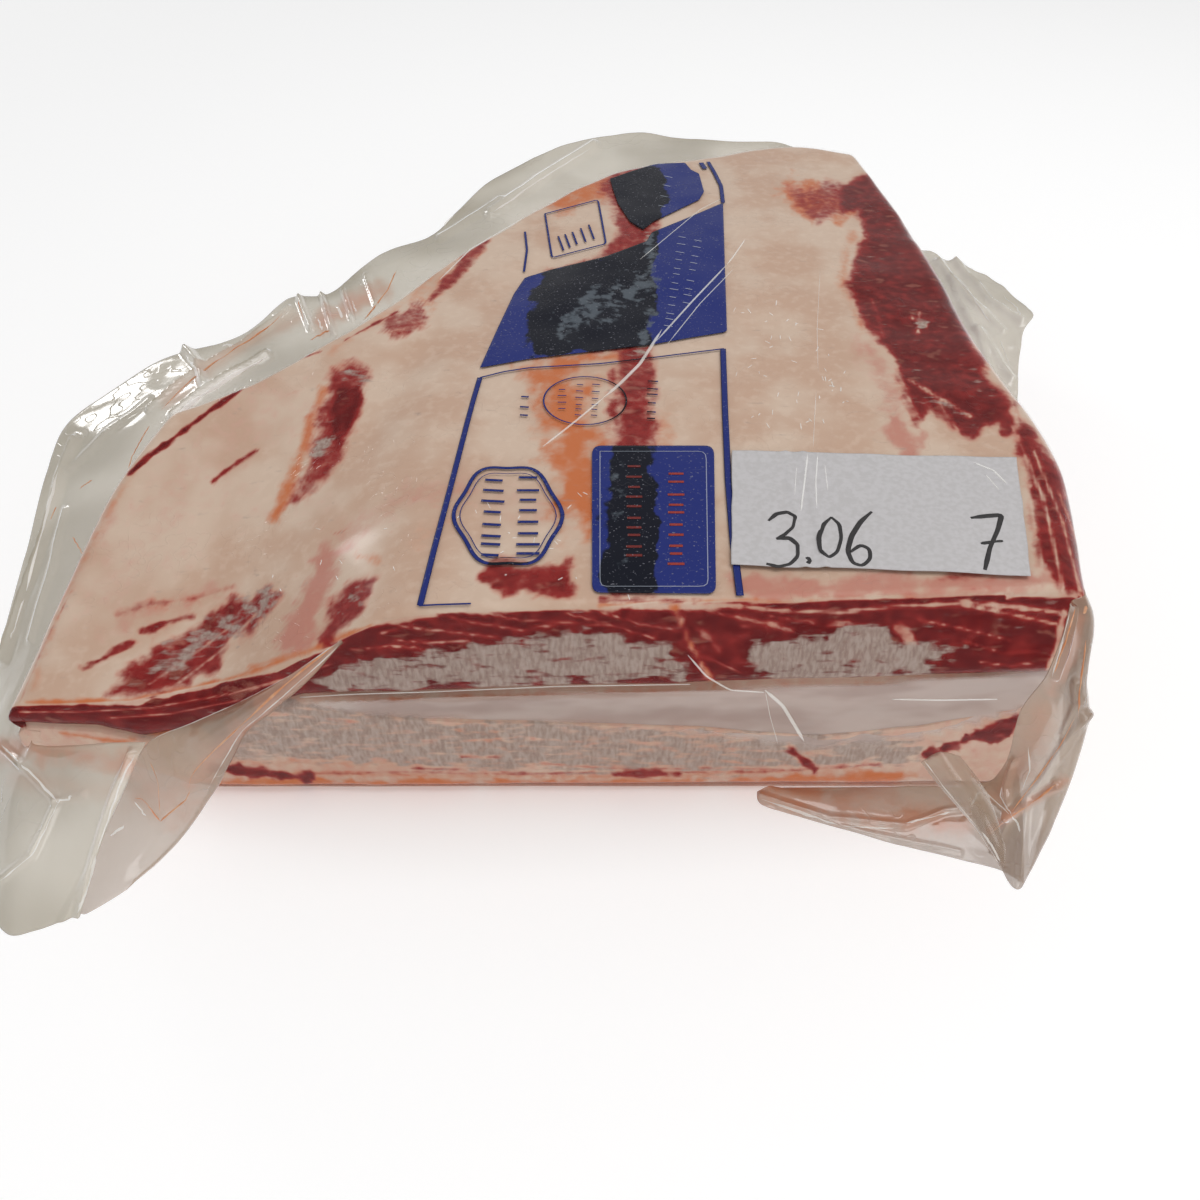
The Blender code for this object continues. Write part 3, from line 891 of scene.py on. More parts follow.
def colour(red, green, blue):
    """A screen colour from 0 to 255, as the linear colour that shaders take."""
    parts = [c / 255.0 for c in (red, green, blue)]
    return tuple(c / 12.92 if c <= 0.04045 else ((c + 0.055) / 1.055) ** 2.4 for c in parts) + (1.0,)


def new_group(name, inputs, outputs):
    """An empty shader group with named inputs and outputs: (group, its input node, its output node)."""
    group = bpy.data.node_groups.new(name, "ShaderNodeTree")
    for title, kind, value in inputs:
        socket = group.interface.new_socket(title, in_out="INPUT", socket_type=kind)
        if value is not None:
            socket.default_value = value
    for title, kind in outputs:
        group.interface.new_socket(title, in_out="OUTPUT", socket_type=kind)
    return group, group.nodes.new("NodeGroupInput"), group.nodes.new("NodeGroupOutput")


FLOAT, VECTOR = "NodeSocketFloat", "NodeSocketVector"


def ragged_group():
    """Breaks a soft mask into grainy patches: grain is added to it, and the sum is cut by a smoothstep."""
    inputs = [
        ("Mask", FLOAT, 0.0),
        ("Grain", FLOAT, 0.5),
        ("Amount", FLOAT, 0.6),
        ("Low", FLOAT, 0.35),
        ("High", FLOAT, 0.65),
    ]
    group, given, result = new_group("ragged_mask", inputs, [("Mask", FLOAT), ("Pushed", FLOAT)])
    middle = sums(group, "SUBTRACT", given.outputs["Grain"], 0.5)
    pushed = sums(group, "MULTIPLY_ADD", middle, given.outputs["Amount"], given.outputs["Mask"])
    mask = ranged(group, pushed, given.outputs["Low"], given.outputs["High"])
    feed(group, result, {"Mask": mask, "Pushed": pushed})
    return group


def wrinkle_group():
    """The fine creases of shrunk film: swells, with thin ridges where a finer noise is at its middle."""
    inputs = [("Vector", VECTOR, None), ("Scale", FLOAT, 60.0), ("Width", FLOAT, 0.03)]
    group, given, result = new_group("film_wrinkles", inputs, [("Height", FLOAT)])
    wide = cloud(group, given.outputs["Vector"], given.outputs["Scale"], 1.0)
    fine_scale = sums(group, "MULTIPLY", given.outputs["Scale"], 5.1)
    fine = cloud(group, given.outputs["Vector"], fine_scale, 0.0)
    off = sums(group, "ABSOLUTE", sums(group, "SUBTRACT", fine, 0.5))
    thin = sums(group, "SUBTRACT", 1.0, sums(group, "DIVIDE", off, given.outputs["Width"]), clamp=True)
    ridge = sums(group, "MULTIPLY", thin, ranged(group, wide, 0.5, 0.6))
    feed(group, result, {"Height": sums(group, "MULTIPLY_ADD", ridge, 0.3, wide)})
    return group


RAGGED = ragged_group()
WRINKLES = wrinkle_group()


def placed(tree, group, values):
    """A shader group placed in the tree, with its inputs set or linked: its outputs."""
    return put(tree, "ShaderNodeGroup", values, node_tree=group).outputs


def ragged(tree, mark, grain, amount, low, high):
    """A mark of the mesh, broken up by grain."""
    values = {"Mask": read_mark(tree, mark), "Grain": grain, "Amount": amount, "Low": low, "High": high}
    return placed(tree, RAGGED, values)


def new_material(name):
    """A material with its Principled shader: (material, tree, shader, object coordinates)."""
    material = bpy.data.materials.new(name)
    material.use_nodes = True
    tree = material.node_tree
    where = put(tree, "ShaderNodeTexCoord").outputs["Object"]
    return material, tree, tree.nodes["Principled BSDF"], where


def bumped(tree, shader, height, strength, distance=0.001):
    """Gives a shader a bump of this height."""
    bump = put(tree, "ShaderNodeBump", {"Strength": strength, "Distance": distance, "Height": height})
    feed(tree, shader, {"Normal": bump.outputs["Normal"]})


def film_bump(tree, shader, where, scale, strength):
    """Gives a shader the gloss of creased film over it: the wrinkles' height as a bump."""
    wrinkles = placed(tree, WRINKLES, {"Vector": where, "Scale": scale, "Width": 0.03})
    bumped(tree, shader, wrinkles["Height"], strength)


def hazy(tree, grazing, least):
    """The haze of film: the least, and more at grazing angles."""
    facing = put(tree, "ShaderNodeLayerWeight", {"Blend": 0.3}).outputs["Facing"]
    return sums(tree, "MULTIPLY_ADD", facing, grazing, least)


def beef_material():
    """Raw beef under wet film: cream fat, red fibrous lean, orange stain and grey frost by the marks."""
    material, tree, shader, where = new_material("raw_beef")
    clouds = cloud(tree, where, 48.0, 2.0)
    grain = cloud(tree, where, 340.0, 3.0)
    fibre = cloud(tree, drawn_out(tree, where, (0.45, 0.8, 1.1)), 300.0, 3.0)

    fat = mixed(tree, ranged(tree, clouds, 0.36, 0.64), colour(204, 181, 162), colour(193, 162, 141))
    fat = mixed(tree, ranged(tree, grain, 0.45, 0.75, 0.0, 0.25), fat, colour(222, 204, 186))
    # Pink flushes, with a wash of painted shade over the top's left
    pink_and_shade = ragged(tree, "pink_and_shade", grain, 0.9, 0.1, 1.0)["Mask"]
    shade = mixed(tree, sums(tree, "MULTIPLY", pink_and_shade, 0.75), fat, colour(184, 112, 98))
    stain = ragged(tree, "stain", grain, 0.7, 0.1, 0.95)["Mask"]
    shade = mixed(tree, sums(tree, "MULTIPLY", stain, 0.95), shade, colour(192, 106, 60))

    lean = ragged(tree, "lean", grain, 0.7, 0.1, 0.78)
    fibrous = sums(tree, "MULTIPLY_ADD", sums(tree, "SUBTRACT", fibre, 0.5), 0.6, lean["Pushed"])
    halo = mixed(tree, ranged(tree, fibrous, 0.25, 0.65), colour(186, 98, 80), colour(142, 42, 40))
    red = mixed(tree, ranged(tree, fibrous, 0.6, 1.15), halo, colour(92, 20, 22))
    flecked = mixed(tree, ranged(tree, fibre, 0.6, 0.72, 0.0, 0.3), red, colour(182, 116, 98))
    shade = mixed(tree, lean["Mask"], shade, flecked)

    streaks = cloud(tree, drawn_out(tree, where, (0.3, 0.8, 1.0)), 620.0, 5.0)
    comb = cloud(tree, drawn_out(tree, where, (1.0, 0.8, 0.3)), 1100.0, 2.0)
    frost = ragged(tree, "frost", streaks, 2.4, 0.3, 0.95)["Mask"]
    grey = mixed(tree, ranged(tree, comb, 0.3, 0.7), colour(146, 126, 116), colour(170, 154, 144))
    shade = mixed(tree, sums(tree, "MULTIPLY", frost, 0.92), shade, grey)
    feed(tree, shader, {"Base Color": shade, "Roughness": 0.16, "Specular IOR Level": 0.08})
    film_bump(tree, shader, where, 60.0, 0.3)
    return material


def film_material(name, clear, tints, scale, grazing):
    """Clear shrink film: hazier by its marks and at grazing angles, with its creases in the bump.

    Only the wall towards the viewer is hazy, so that a sheet's two walls do not count twice.
    """
    material, tree, shader, where = new_material(name)
    film_bump(tree, shader, where, scale, 0.35)
    juice = read_mark(tree, "juice")
    body = mixed(tree, ranged(tree, cloud(tree, where, scale * 0.6, 1.0), 0.4, 0.62), tints[0], tints[1])
    shade = mixed(tree, juice, body, colour(196, 130, 104))
    milky = sums(tree, "ADD", hazy(tree, grazing, clear), read_mark(tree, "milk"))
    hidden = sums(tree, "MULTIPLY_ADD", juice, 0.4, milky, clamp=True)
    front = sums(tree, "SUBTRACT", 1.0, put(tree, "ShaderNodeNewGeometry").outputs["Backfacing"])
    alpha = sums(tree, "MULTIPLY", hidden, front)
    feed(tree, shader, {"Base Color": shade, "Alpha": alpha, "Roughness": 0.12, "Specular IOR Level": 0.9})
    return material


def skin_material():
    """The film drawn tight on the beef: open, but for milky air between the slabs and juice at the foot."""
    material, tree, shader, where = new_material("tight_film")
    wide = cloud(tree, drawn_out(tree, where, (0.5, 1.0, 1.2)), 90.0, 2.0)
    juice = read_mark(tree, "juice")
    body = mixed(tree, ranged(tree, wide, 0.36, 0.64), colour(182, 166, 158), colour(160, 140, 132))
    shade = mixed(tree, juice, body, colour(196, 142, 104))
    milky = hazy(tree, 0.1, read_mark(tree, "milk"))
    alpha = sums(tree, "MULTIPLY_ADD", juice, 0.9, milky, clamp=True)
    feed(tree, shader, {"Base Color": shade, "Alpha": alpha, "Roughness": 0.15})
    bumped(tree, shader, wide, 0.4)
    return material


def ink_material(name, on_fat, on_lean, frosted):
    """Ink on film: one colour over fat and another over lean, grey over frost, with tiny worn specks."""
    material, tree, shader, where = new_material(name)
    grain = cloud(tree, where, 340.0, 3.0)
    lean = ragged(tree, "lean", grain, 0.5, 0.3, 0.5)["Mask"]
    frost = ragged(tree, "frost", grain, 1.6, 0.4, 0.75)["Mask"]
    shade = mixed(tree, lean, on_fat, on_lean)
    shade = mixed(tree, sums(tree, "MULTIPLY", frost, 0.75), shade, frosted)
    worn = sums(tree, "MULTIPLY", ranged(tree, cloud(tree, where, 1500.0, 2.0), 0.64, 0.72), 0.5)
    shade = mixed(tree, worn, shade, colour(140, 140, 150))
    feed(tree, shader, {"Base Color": shade, "Roughness": 0.2, "Specular IOR Level": 0.1})
    film_bump(tree, shader, where, 60.0, 0.3)
    return material


def plain_finish(name, first, second, roughness, scale):
    """A finish with two tones in a fine mottle and a faint tooth."""
    material, tree, shader, where = new_material(name)
    tone = cloud(tree, where, scale, 3.0)
    shade = mixed(tree, ranged(tree, tone, 0.35, 0.65), first, second)
    feed(tree, shader, {"Base Color": shade, "Roughness": roughness})
    bumped(tree, shader, tone, 0.2, 0.0002)
    return material


# The beef


def slab_marks(points, first, lower):
    """The marks of a slab: on its top, on its cut face, and on its other sides."""
    top = top_marks(points)
    face = face_marks(points, lower)
    turn = np.arctan2(points[:, 1] - 10.0, points[:, 0]) * 110.0
    side = side_marks(points, turn)
    on_the_top = (np.arange(len(points)) < first).astype(float)
    right_edge = smoothstep((points[:, 2] - 30.0) / 12.0) * (points[:, 0] > 100.0)
    on_the_top = np.maximum(on_the_top, right_edge * (1.0 - lower))
    px, py = photo_pixel(points)
    edge = np.interp(px, [p[0] for p in FACE_EDGE], [p[1] for p in FACE_EDGE])
    below_edge = smoothstep(0.5 + (py - edge) / 3.0) * (points[:, 1] < -100.0)
    on_the_top = on_the_top * (1.0 - below_edge)
    lean = face_lean(points[:, 0], points[:, 2])
    facing = near_front(points[:, 0], points[:, 1], FACE_REACH, FACE_FADE, lean)
    front = np.maximum(facing, below_edge) * (1.0 - on_the_top)
    return {key: blend(blend(side[key], face[key], front), top[key], on_the_top) for key in top}


def slab_wall(seed):
    """How far a slab's wall stands out: a slight belly, and fine lumps drawn out along the face."""

    def wall(x, y, z, share):
        return SLAB_BELLY * np.sin(math.pi * share) + 0.25 * fractal((x + y) * 0.7, z * 2.0, 9.0, seed, 3)

    return wall


def upper_slab(material):
    """The upper slab: its top follows the pack's, and its cut face ends where the slabs part."""

    def foot(x, y):
        inward = smoothstep((y - FRONT_FACE_Y) / 26.0)
        return blend(profile(UPPER_SLAB_FOOT, x), np.minimum(profile(UPPER_SLAB_FOOT, x), 38.0), inward)

    def height(x, y):
        return top_height(x, y) - BEEF_UNDER_FILM

    points, quads, tip, first = closed_slab(244, 240, 32, height, foot, slab_wall(121), 0.9)
    mesh = make_mesh("beef_upper_slab", points, quads, tip, slab_marks(points, first, False))
    add_piece(mesh, material, "beef_in_film")


def lower_slab(material):
    """The lower slab: only its cut face and its sides show, under the upper one."""

    def height(x, y):
        inward = smoothstep((y - FRONT_FACE_Y) / 24.0)
        crest = blend(profile(LOWER_SLAB_CREST, x), np.maximum(profile(LOWER_SLAB_CREST, x), 34.0), inward)
        return np.maximum(crest + FRONT_EDGE_RADIUS, foot_height(x, y) + 4.0)

    points, quads, tip, first = closed_slab(244, 100, 40, height, foot_height, slab_wall(131), 1.4)
    mesh = make_mesh("beef_lower_slab", points, quads, tip, slab_marks(points, first, True))
    add_piece(mesh, material, "beef_in_film")


# The film


def film_skin(material):
    """The film over the whole pack: on the beef all round, and bridging the gap between the slabs."""

    def wall(x, y, z, share):
        upper, lower = profile(UPPER_SLAB_FOOT, x), profile(LOWER_SLAB_CREST, x)
        half = np.maximum((upper - lower) / 2.0, 1.5)
        reach = np.clip(1.0 - ((z - (upper + lower) / 2.0) / (half + STEP_BLEND)) ** 2, 0.0, None)
        front = near_front(x, y, 3.0, 2.0) * np.minimum(1.0, half / 6.0) * reach
        hollow = front * (0.5 * crumple(x + y, z, 16.0, 152) - STEP_DEPTH)
        return SLAB_BELLY * np.sin(math.pi * share) + hollow

    points, quads, tip, first = closed_slab(236, 220, 34, top_height, foot_height, wall, 0.0)
    x, y, z = points[:, 0], points[:, 1], points[:, 2]
    front = near_front(x, y, FACE_REACH, FACE_FADE, face_lean(x, z)) * (np.arange(len(points)) >= first)
    upper, lower = profile(UPPER_SLAB_FOOT, x), profile(LOWER_SLAB_CREST, x)
    between = smoothstep(0.5 + (upper + 1.0 - z) / 1.2) * smoothstep(0.5 + (z - lower - 2.0) / 1.2)
    thick = smoothstep((upper - lower - 1.0) / 3.0)
    marks = {"milk": 0.8 * front * between * thick, "juice": front * smoothstep((5.5 - z) / 3.0)}
    add_piece(make_mesh("film_skin", points, quads, tip, marks), material, "bag_film")


# Each margin of the bag, station by station: where it leaves the beef, in the pack's frame, and
# where its free edge shows in the photograph, with that edge's height
LEFT_MARGIN = [
    ((98, 149, 60), (806, 153, 62)),
    ((84, 145, 60), (776, 142, 65)),
    ((62, 137, 61), (727, 141, 66)),
    ((48, 131, 61), (675, 137, 66)),
    ((34, 125, 61), (637, 133, 66)),
    ((14, 111, 61), (590, 139, 65)),
    ((-6, 92, 60), (546, 152, 64)),
    ((-20, 74, 59), (487, 184, 62)),
    ((-28, 62, 58), (458, 211, 60)),
    ((-38, 48, 57), (428, 238, 58)),
    ((-46, 34, 56), (380, 254, 55)),
    ((-54, 22, 55), (332, 292, 51)),
    ((-58, 14, 55), (295, 297, 50)),
    ((-66, 4, 54), (279, 306, 49)),
    ((-78, -10, 52), (241, 335, 46)),
    ((-92, -20, 50), (187, 352, 44)),
    ((-104, -27, 47), (155, 364, 42)),
    ((-113, -36, 44), (107, 394, 39)),
    ((-119, -48, 40), (64, 428, 35)),
    ((-124, -60, 37), (47, 476, 31)),
    ((-127, -74, 34), (32, 530, 26)),
    ((-129, -86, 31), (16, 589, 20)),
    ((-130, -98, 28), (2, 640, 15)),
    ((-130, -106, 26), (-12, 700, 10)),
    ((-130, -114, 25), (-22, 770, 6)),
    ((-130, -119, 24), (-24, 840, 3)),
    ((-130, -122, 24), (-10, 905, 1.5)),
    ((-126, -123, 24), (8, 934, 1.2)),
    ((-118, -123.5, 25), (34, 931, 1.2)),
    ((-108, -125, 28), (60, 922, 1.2)),
    ((-98, -127, 31), (80, 914, 1.2)),
]
FRONT_MARGIN = [
    ((57, -120, 1.2), (757, 792, 1.2)),
    ((62, -120, 1.2), (762, 805, 1.2)),
    ((76, -120, 1.3), (800, 817, 1.2)),
    ((86, -120, 1.5), (830, 826, 1.2)),
    ((96, -120, 2), (876, 839, 1.2)),
    ((104, -121, 3), (920, 850, 1.2)),
    ((110, -121, 5), (962, 860, 1.2)),
    ((114, -121, 8), (1000, 870, 1.2)),
    ((117, -121, 12), (1024, 884, 1.2)),
]
BACK_RIGHT_MARGIN = [
    ((114, 100, 44), (926, 250, 46)),
    ((116, 86, 44), (942, 257, 47)),
    ((117, 72, 43), (962, 264, 48)),
    ((118, 60, 42), (988, 277, 48)),
    ((119, 48, 41), (1014, 296, 47)),
    ((119.5, 36, 40), (1033, 314, 46)),
    ((120, 24, 39), (1024, 330, 45)),
    ((120.5, 8, 38), (1020, 352, 43)),
    ((121, -8, 36), (1018, 380, 41)),
    ((121, -26, 34), (1018, 410, 38)),
]

# The tents: lines from the beef down to the floor, each by its pixels and heights
LEFT_TENT = [
    [(341, 640, 63), (289, 676, 53), (240, 702, 42.5), (190, 724, 34), (148, 743, 28), (126, 787, 16),
     (98, 850, 6), (80, 914, 1.2)],
    [(342, 641, 62.5), (297, 677, 54), (254, 706, 46), (213, 737, 36), (184, 770, 24), (158, 812, 12),
     (130, 862, 4), (90, 912, 1.2)],
    [(343, 642, 61.5), (304, 678, 52), (268, 708, 43), (240, 732, 34), (222, 764, 23), (206, 792, 13),
     (172, 842, 3), (126, 890, 1.2)],
    [(343, 643, 61), (303, 680, 50), (268, 711, 40), (240, 735, 30), (222, 768, 18), (207, 795, 8),
     (178, 838, 1.2), (134, 880, 1.2)],
]
RIGHT_TENT = [
    [(1070, 604, 66.5), (1060, 640, 61.5), (1046, 676, 51), (1020, 712, 37.5), (1006, 762, 19),
     (978, 796, 8), (958, 822, 1.5)],
    [(1074, 600, 65), (1072, 640, 58), (1064, 678, 48), (1056, 722, 36), (1036, 772, 22), (1012, 815, 12),
     (990, 850, 2)],
    [(1086, 592, 65), (1091, 622, 58), (1083, 676, 48), (1083, 722, 36), (1064, 786, 19), (1044, 838, 8),
     (1024, 884, 1.2)],
]
RIGHT_TENT_BACK = [
    (119, -100, 62), (122, -98, 52), (126, -96, 42), (130, -95, 32),
    (134, -96, 20), (137, -100, 9), (136, -106, 1.2),
]
TONGUE = [
    [(921, 762, 21), (938, 784, 15), (962, 812, 8), (984, 838, 4), (1000, 866, 1.8)],
    [(940, 752, 25), (960, 782, 18), (980, 812, 11), (994, 840, 6), (1004, 868, 2)],
    [(960, 756, 23), (980, 782, 16), (994, 806, 10), (1002, 836, 5), (1007, 868, 1.8)],
]

# Folds that raise the film, by their pixels: path, half width in pixels, height
LEFT_FOLDS = [
    ([(0, 745), (30, 772), (58, 802), (45, 830), (32, 855), (0, 881)], 7, 1.6),
    ([(134, 753), (118, 790), (96, 855), (78, 914)], 8, 2),
    ([(58, 802), (84, 794)], 6, 1),
    ([(110, 846), (84, 880), (62, 922)], 7, 0.8),
    ([(4, 660), (24, 596), (44, 540), (60, 480), (76, 440)], 7, 2.2),
    ([(30, 640), (52, 570), (66, 510)], 5, 1),
    ([(187, 352), (200, 366), (205, 384)], 8, 3),
    ([(174, 418), (200, 396), (236, 374), (268, 356)], 7, 3),
    ([(150, 410), (190, 376), (240, 348), (290, 310)], 5, 2),
    ([(300, 300), (312, 330)], 5, 2.5),
    ([(322, 296), (334, 334)], 4, 2),
    ([(344, 292), (352, 320)], 4, 2.2),
    ([(366, 276), (376, 306)], 4, 1.6),
    ([(490, 214), (540, 180), (594, 146)], 8, 2.4),
    ([(440, 238), (500, 200)], 6, 1.4),
    ([(70, 470), (110, 430), (150, 400)], 6, 1),
]
RIGHT_FOLDS = [
    ([(1011, 815), (1046, 775), (1082, 713)], 7, 1.6),
    ([(1011, 815), (1032, 800), (1056, 784)], 6, 1.6),
    ([(1011, 815), (985, 792), (954, 795)], 7, 1.6),
    ([(1011, 815), (1000, 845), (984, 860)], 7, 1.4),
    ([(1011, 815), (1008, 789), (1015, 760)], 6, 1.2),
    ([(1073, 608), (1064, 640), (1054, 676)], 5, 1.2),
    ([(1076, 680), (1078, 700), (1064, 730)], 6, 1),
    ([(1028, 800), (1022, 850), (1020, 876)], 6, 1),
]
FRONT_FOLDS = [
    ([(762, 796), (830, 818), (906, 826), (943, 812), (990, 806)], 6, 1.2),
    ([(780, 806), (860, 832), (960, 852)], 5, 0.8),
]
BACK_RIGHT_FOLDS = [
    ([(938, 262), (970, 300), (1004, 330)], 6, 1.8),
    ([(955, 262), (990, 300), (1022, 322)], 5, 1.8),
    ([(978, 330), (1000, 360), (1012, 380)], 6, 1.5),
    ([(950, 280), (980, 340), (1000, 400)], 6, 1.2),
]


LEFT_JUICE = [
    ([(0, 748), (60, 752), (120, 762), (170, 768)], 9, 16, 0.6),
    ([(20, 778), (110, 790)], 6, 20, 0.25),
    ([(322, 322), (346, 308), (380, 292)], 7, 9, 0.6),
    ([(168, 404), (214, 366), (262, 338), (300, 318)], 4, 9, 0.35),
]
LEFT_TENT_JUICE = [
    ([(330, 650), (268, 700), (214, 750), (190, 780)], 5, 10, 0.45),
    ([(150, 786), (182, 800)], 16, 24, 0.3),
]
RIGHT_TENT_JUICE = [
    ([(1078, 620), (1064, 660), (1050, 690)], 4, 10, 0.5),
    ([(1040, 710), (1036, 750), (1004, 790)], 10, 22, 0.4),
    ([(1062, 778), (1012, 814), (990, 830)], 3, 6, 0.6),
]
FRONT_JUICE = [([(764, 796), (860, 812), (960, 826)], 10, 18, 0.6)]


def film_sheet(
    name, rails, columns, rows, material, folds, stains, milk, crease, size, bulge=0.0, wall=LOOSE_WALL
):
    """A loose film: a smooth surface through several rails, crumpled, with folds seen in the photo.

    The first parameter runs along the rails and the second from rail to rail. Each fold is a path
    of pixels, and raises the film to a sharp ridge as a tent pole does. Stains are ragged lines of
    pixels where juice lies. The film is hazier by milk, given at the first and at the last rail.
    """
    u, v = np.linspace(0.0, 1.0, columns), np.linspace(0.0, 1.0, rows)
    points = along(np.stack([along(rail, u) for rail in rails]), v)
    normal = np.cross(np.gradient(points, axis=1), np.gradient(points, axis=0))
    normal /= np.maximum(np.linalg.norm(normal, axis=-1, keepdims=True), 1e-9)
    if np.mean(np.sum(normal * (np.asarray(CAMERA_PLACE) - points), axis=-1)) < 0.0:
        normal = -normal
    px, py = photo_pixel(points)
    free = smoothstep(v[:, None] * 5.0)
    # The height is added to the plan, so that the crumples do not stretch where the film is steep
    x, y = points[..., 0] + 0.5 * points[..., 2], points[..., 1] - 0.7 * points[..., 2]
    rise = crease * free * (crumple(x, y, size, 161) * 2.0 + 0.5 * crumple(x, y, size * 0.4, 171))
    rise = rise + bulge * np.sin(math.pi * v[:, None]) * np.minimum(1.0, 6.0 * u * (1.0 - u))
    for path, half, height in folds:
        away = distance_to_line(px, py, path)
        rise = rise + height * np.clip(1.0 - away / half, 0.0, 1.0) ** 1.4
    points = points + normal * rise[..., None]
    points[..., 2] = np.maximum(points[..., 2], wall)
    marks = {"milk": blend(milk[0], milk[1], v[:, None]) + 0.0 * px, "juice": streaked(px, py, stains, 251)}
    mesh = make_mesh(name, points, grid_faces(rows, columns), None, marks)
    add_piece(mesh, material, "bag_film", wall=wall)
    return points


def margin_rails(stations):
    """The rails of a margin: where it leaves the beef, a line between, and its free edge."""
    roots = np.array([root for root, edge in stations], float)
    edges = seen([edge for root, edge in stations])
    middle = 0.5 * (roots + edges) + np.array([0.0, 0.0, 1.5])
    return [roots, middle, edges]


def loose_film(film, tent):
    """The bag's loose margins, the tents at the front corners and the folded tongue: their points."""
    left = [seen(rail) for rail in LEFT_TENT]
    right = [seen(rail) for rail in RIGHT_TENT] + [np.array(RIGHT_TENT_BACK)]
    tongue = [seen(rail) for rail in TONGUE]
    margins = [margin_rails(m) for m in (LEFT_MARGIN, BACK_RIGHT_MARGIN, FRONT_MARGIN)]
    return {
        "left": film_sheet(
            "film_margin_left", margins[0], 700, 60, film, LEFT_FOLDS, LEFT_JUICE, (0.0, 0.15), 0.6, 24.0
        ),
        "right": film_sheet(
            "film_margin_right", margins[1], 160, 50, film, BACK_RIGHT_FOLDS, [], (0.0, 0.1), 1.2, 14.0
        ),
        "front": film_sheet(
            "film_margin_front", margins[2], 240, 50, tent, FRONT_FOLDS, FRONT_JUICE, (0.25, 0.1), 0.5, 16.0
        ),
        "left_tent": film_sheet(
            "film_tent_left", left, 220, 90, tent, [], LEFT_TENT_JUICE, (0.1, 0.05), 0.4, 18.0, 1.5
        ),
        "right_tent": film_sheet(
            "film_tent_right", right, 200, 120, tent, RIGHT_FOLDS, RIGHT_TENT_JUICE,
            (0.15, 0.1), 0.5, 14.0, 1.0
        ),
        "tongue": film_sheet("film_tongue", tongue, 90, 40, tent, [], [], (0.0, 0.0), 0.15, 12.0, 2.0),
    }


# Folded edges and creases, as whitish strips of doubled film that are painted highlights along the folds,
# and juice lying in creases: surface, path, width
CREASE_HIGHLIGHTS = [
    ("left", [(0, 745), (30, 772), (58, 802)], 1),
    ("left", [(58, 802), (45, 830), (32, 855), (0, 881)], 0.7),
    ("left", [(58, 802), (72, 797)], 0.8),
    ("left", [(134, 753), (118, 790), (96, 855)], 0.7),
    ("left", [(96, 855), (88, 886), (78, 912)], 1.8),
    ("left", [(174, 418), (200, 396), (236, 374), (268, 356)], 2.6),
    ("left", [(186, 356), (196, 368), (198, 378)], 3.4),
    ("left", [(222, 346), (234, 344)], 2.4),
    ("left", [(58, 470), (40, 540), (26, 590)], 1.4),
    ("left", [(24, 600), (10, 640)], 1),
    ("left", [(318, 318), (322, 330)], 2),
    ("left", [(336, 306), (342, 318)], 2),
    ("left", [(352, 300), (356, 312)], 1.4),
    ("left", [(490, 214), (540, 180), (594, 146)], 1.4),
    ("left", [(440, 222), (452, 214)], 1.8),
    ("left_tent", [(341, 640), (290, 667), (240, 692), (190, 717), (146, 741)], 0.4),
    ("left_tent", [(342, 643), (304, 678), (268, 709), (241, 731), (222, 764), (207, 790)], 0.6),
    ("left_tent", [(134, 802), (146, 816)], 0.8),
    ("left_tent", [(110, 836), (124, 826)], 1),
    ("right_tent", [(1011, 815), (985, 792), (954, 795)], 0.9),
    ("right_tent", [(1011, 815), (1000, 796), (1002, 786)], 0.8),
    ("right_tent", [(1011, 815), (1018, 824), (1020, 832)], 0.9),
    ("right_tent", [(1028, 746), (1030, 770), (1022, 790)], 0.6),
    ("right_tent", [(1070, 612), (1060, 650), (1052, 676)], 0.6),
    ("tongue", [(982, 832), (992, 846), (1000, 862)], 1.2),
    ("tongue", [(924, 760), (946, 790), (976, 826)], 0.5),
    ("front", [(762, 799), (800, 812), (840, 826)], 1.3),
    ("front", [(840, 826), (880, 828), (896, 828)], 0.7),
    ("front", [(906, 823), (924, 819), (950, 812)], 1.2),
    ("right", [(945, 264), (975, 300), (990, 322)], 1),
    ("right", [(1004, 296), (1022, 314)], 1.2),
    ("right", [(1000, 340), (1010, 366)], 0.9),
]
JUICE_LINES = [
    ("left_tent", [(334, 646), (300, 672), (268, 700), (246, 721), (214, 750), (190, 775),
                   (188, 790)], 0.9),
    ("left_tent", [(190, 790), (186, 800), (166, 816), (160, 822)], 0.9),
    ("left_tent", [(160, 822), (150, 808), (142, 799), (134, 798)], 0.6),
    ("left_tent", [(150, 761), (158, 782), (160, 814)], 0.35),
    ("left", [(161, 410), (186, 384), (214, 362), (250, 340), (286, 312)], 0.9),
    ("left", [(150, 424), (132, 456), (128, 470)], 0.6),
    ("left", [(80, 488), (92, 480)], 0.8),
    ("left", [(72, 536), (84, 556)], 0.7),
    ("left", [(298, 300), (304, 322)], 1.2),
    ("left", [(310, 340), (330, 330)], 1.2),
    ("left", [(364, 320), (388, 290), (396, 270)], 1),
    ("right_tent", [(1076, 606), (1066, 640), (1054, 674)], 0.8),
    ("right_tent", [(1086, 640), (1080, 690), (1078, 720)], 0.7),
    ("right_tent", [(1078, 712), (1060, 746), (1036, 780), (1011, 812)], 0.7),
    ("right_tent", [(1056, 784), (1036, 800), (1006, 820), (990, 834)], 0.8),
    ("right_tent", [(1086, 606), (1084, 614)], 1.4),
    ("left", [(56, 506), (50, 520)], 0.5),
]
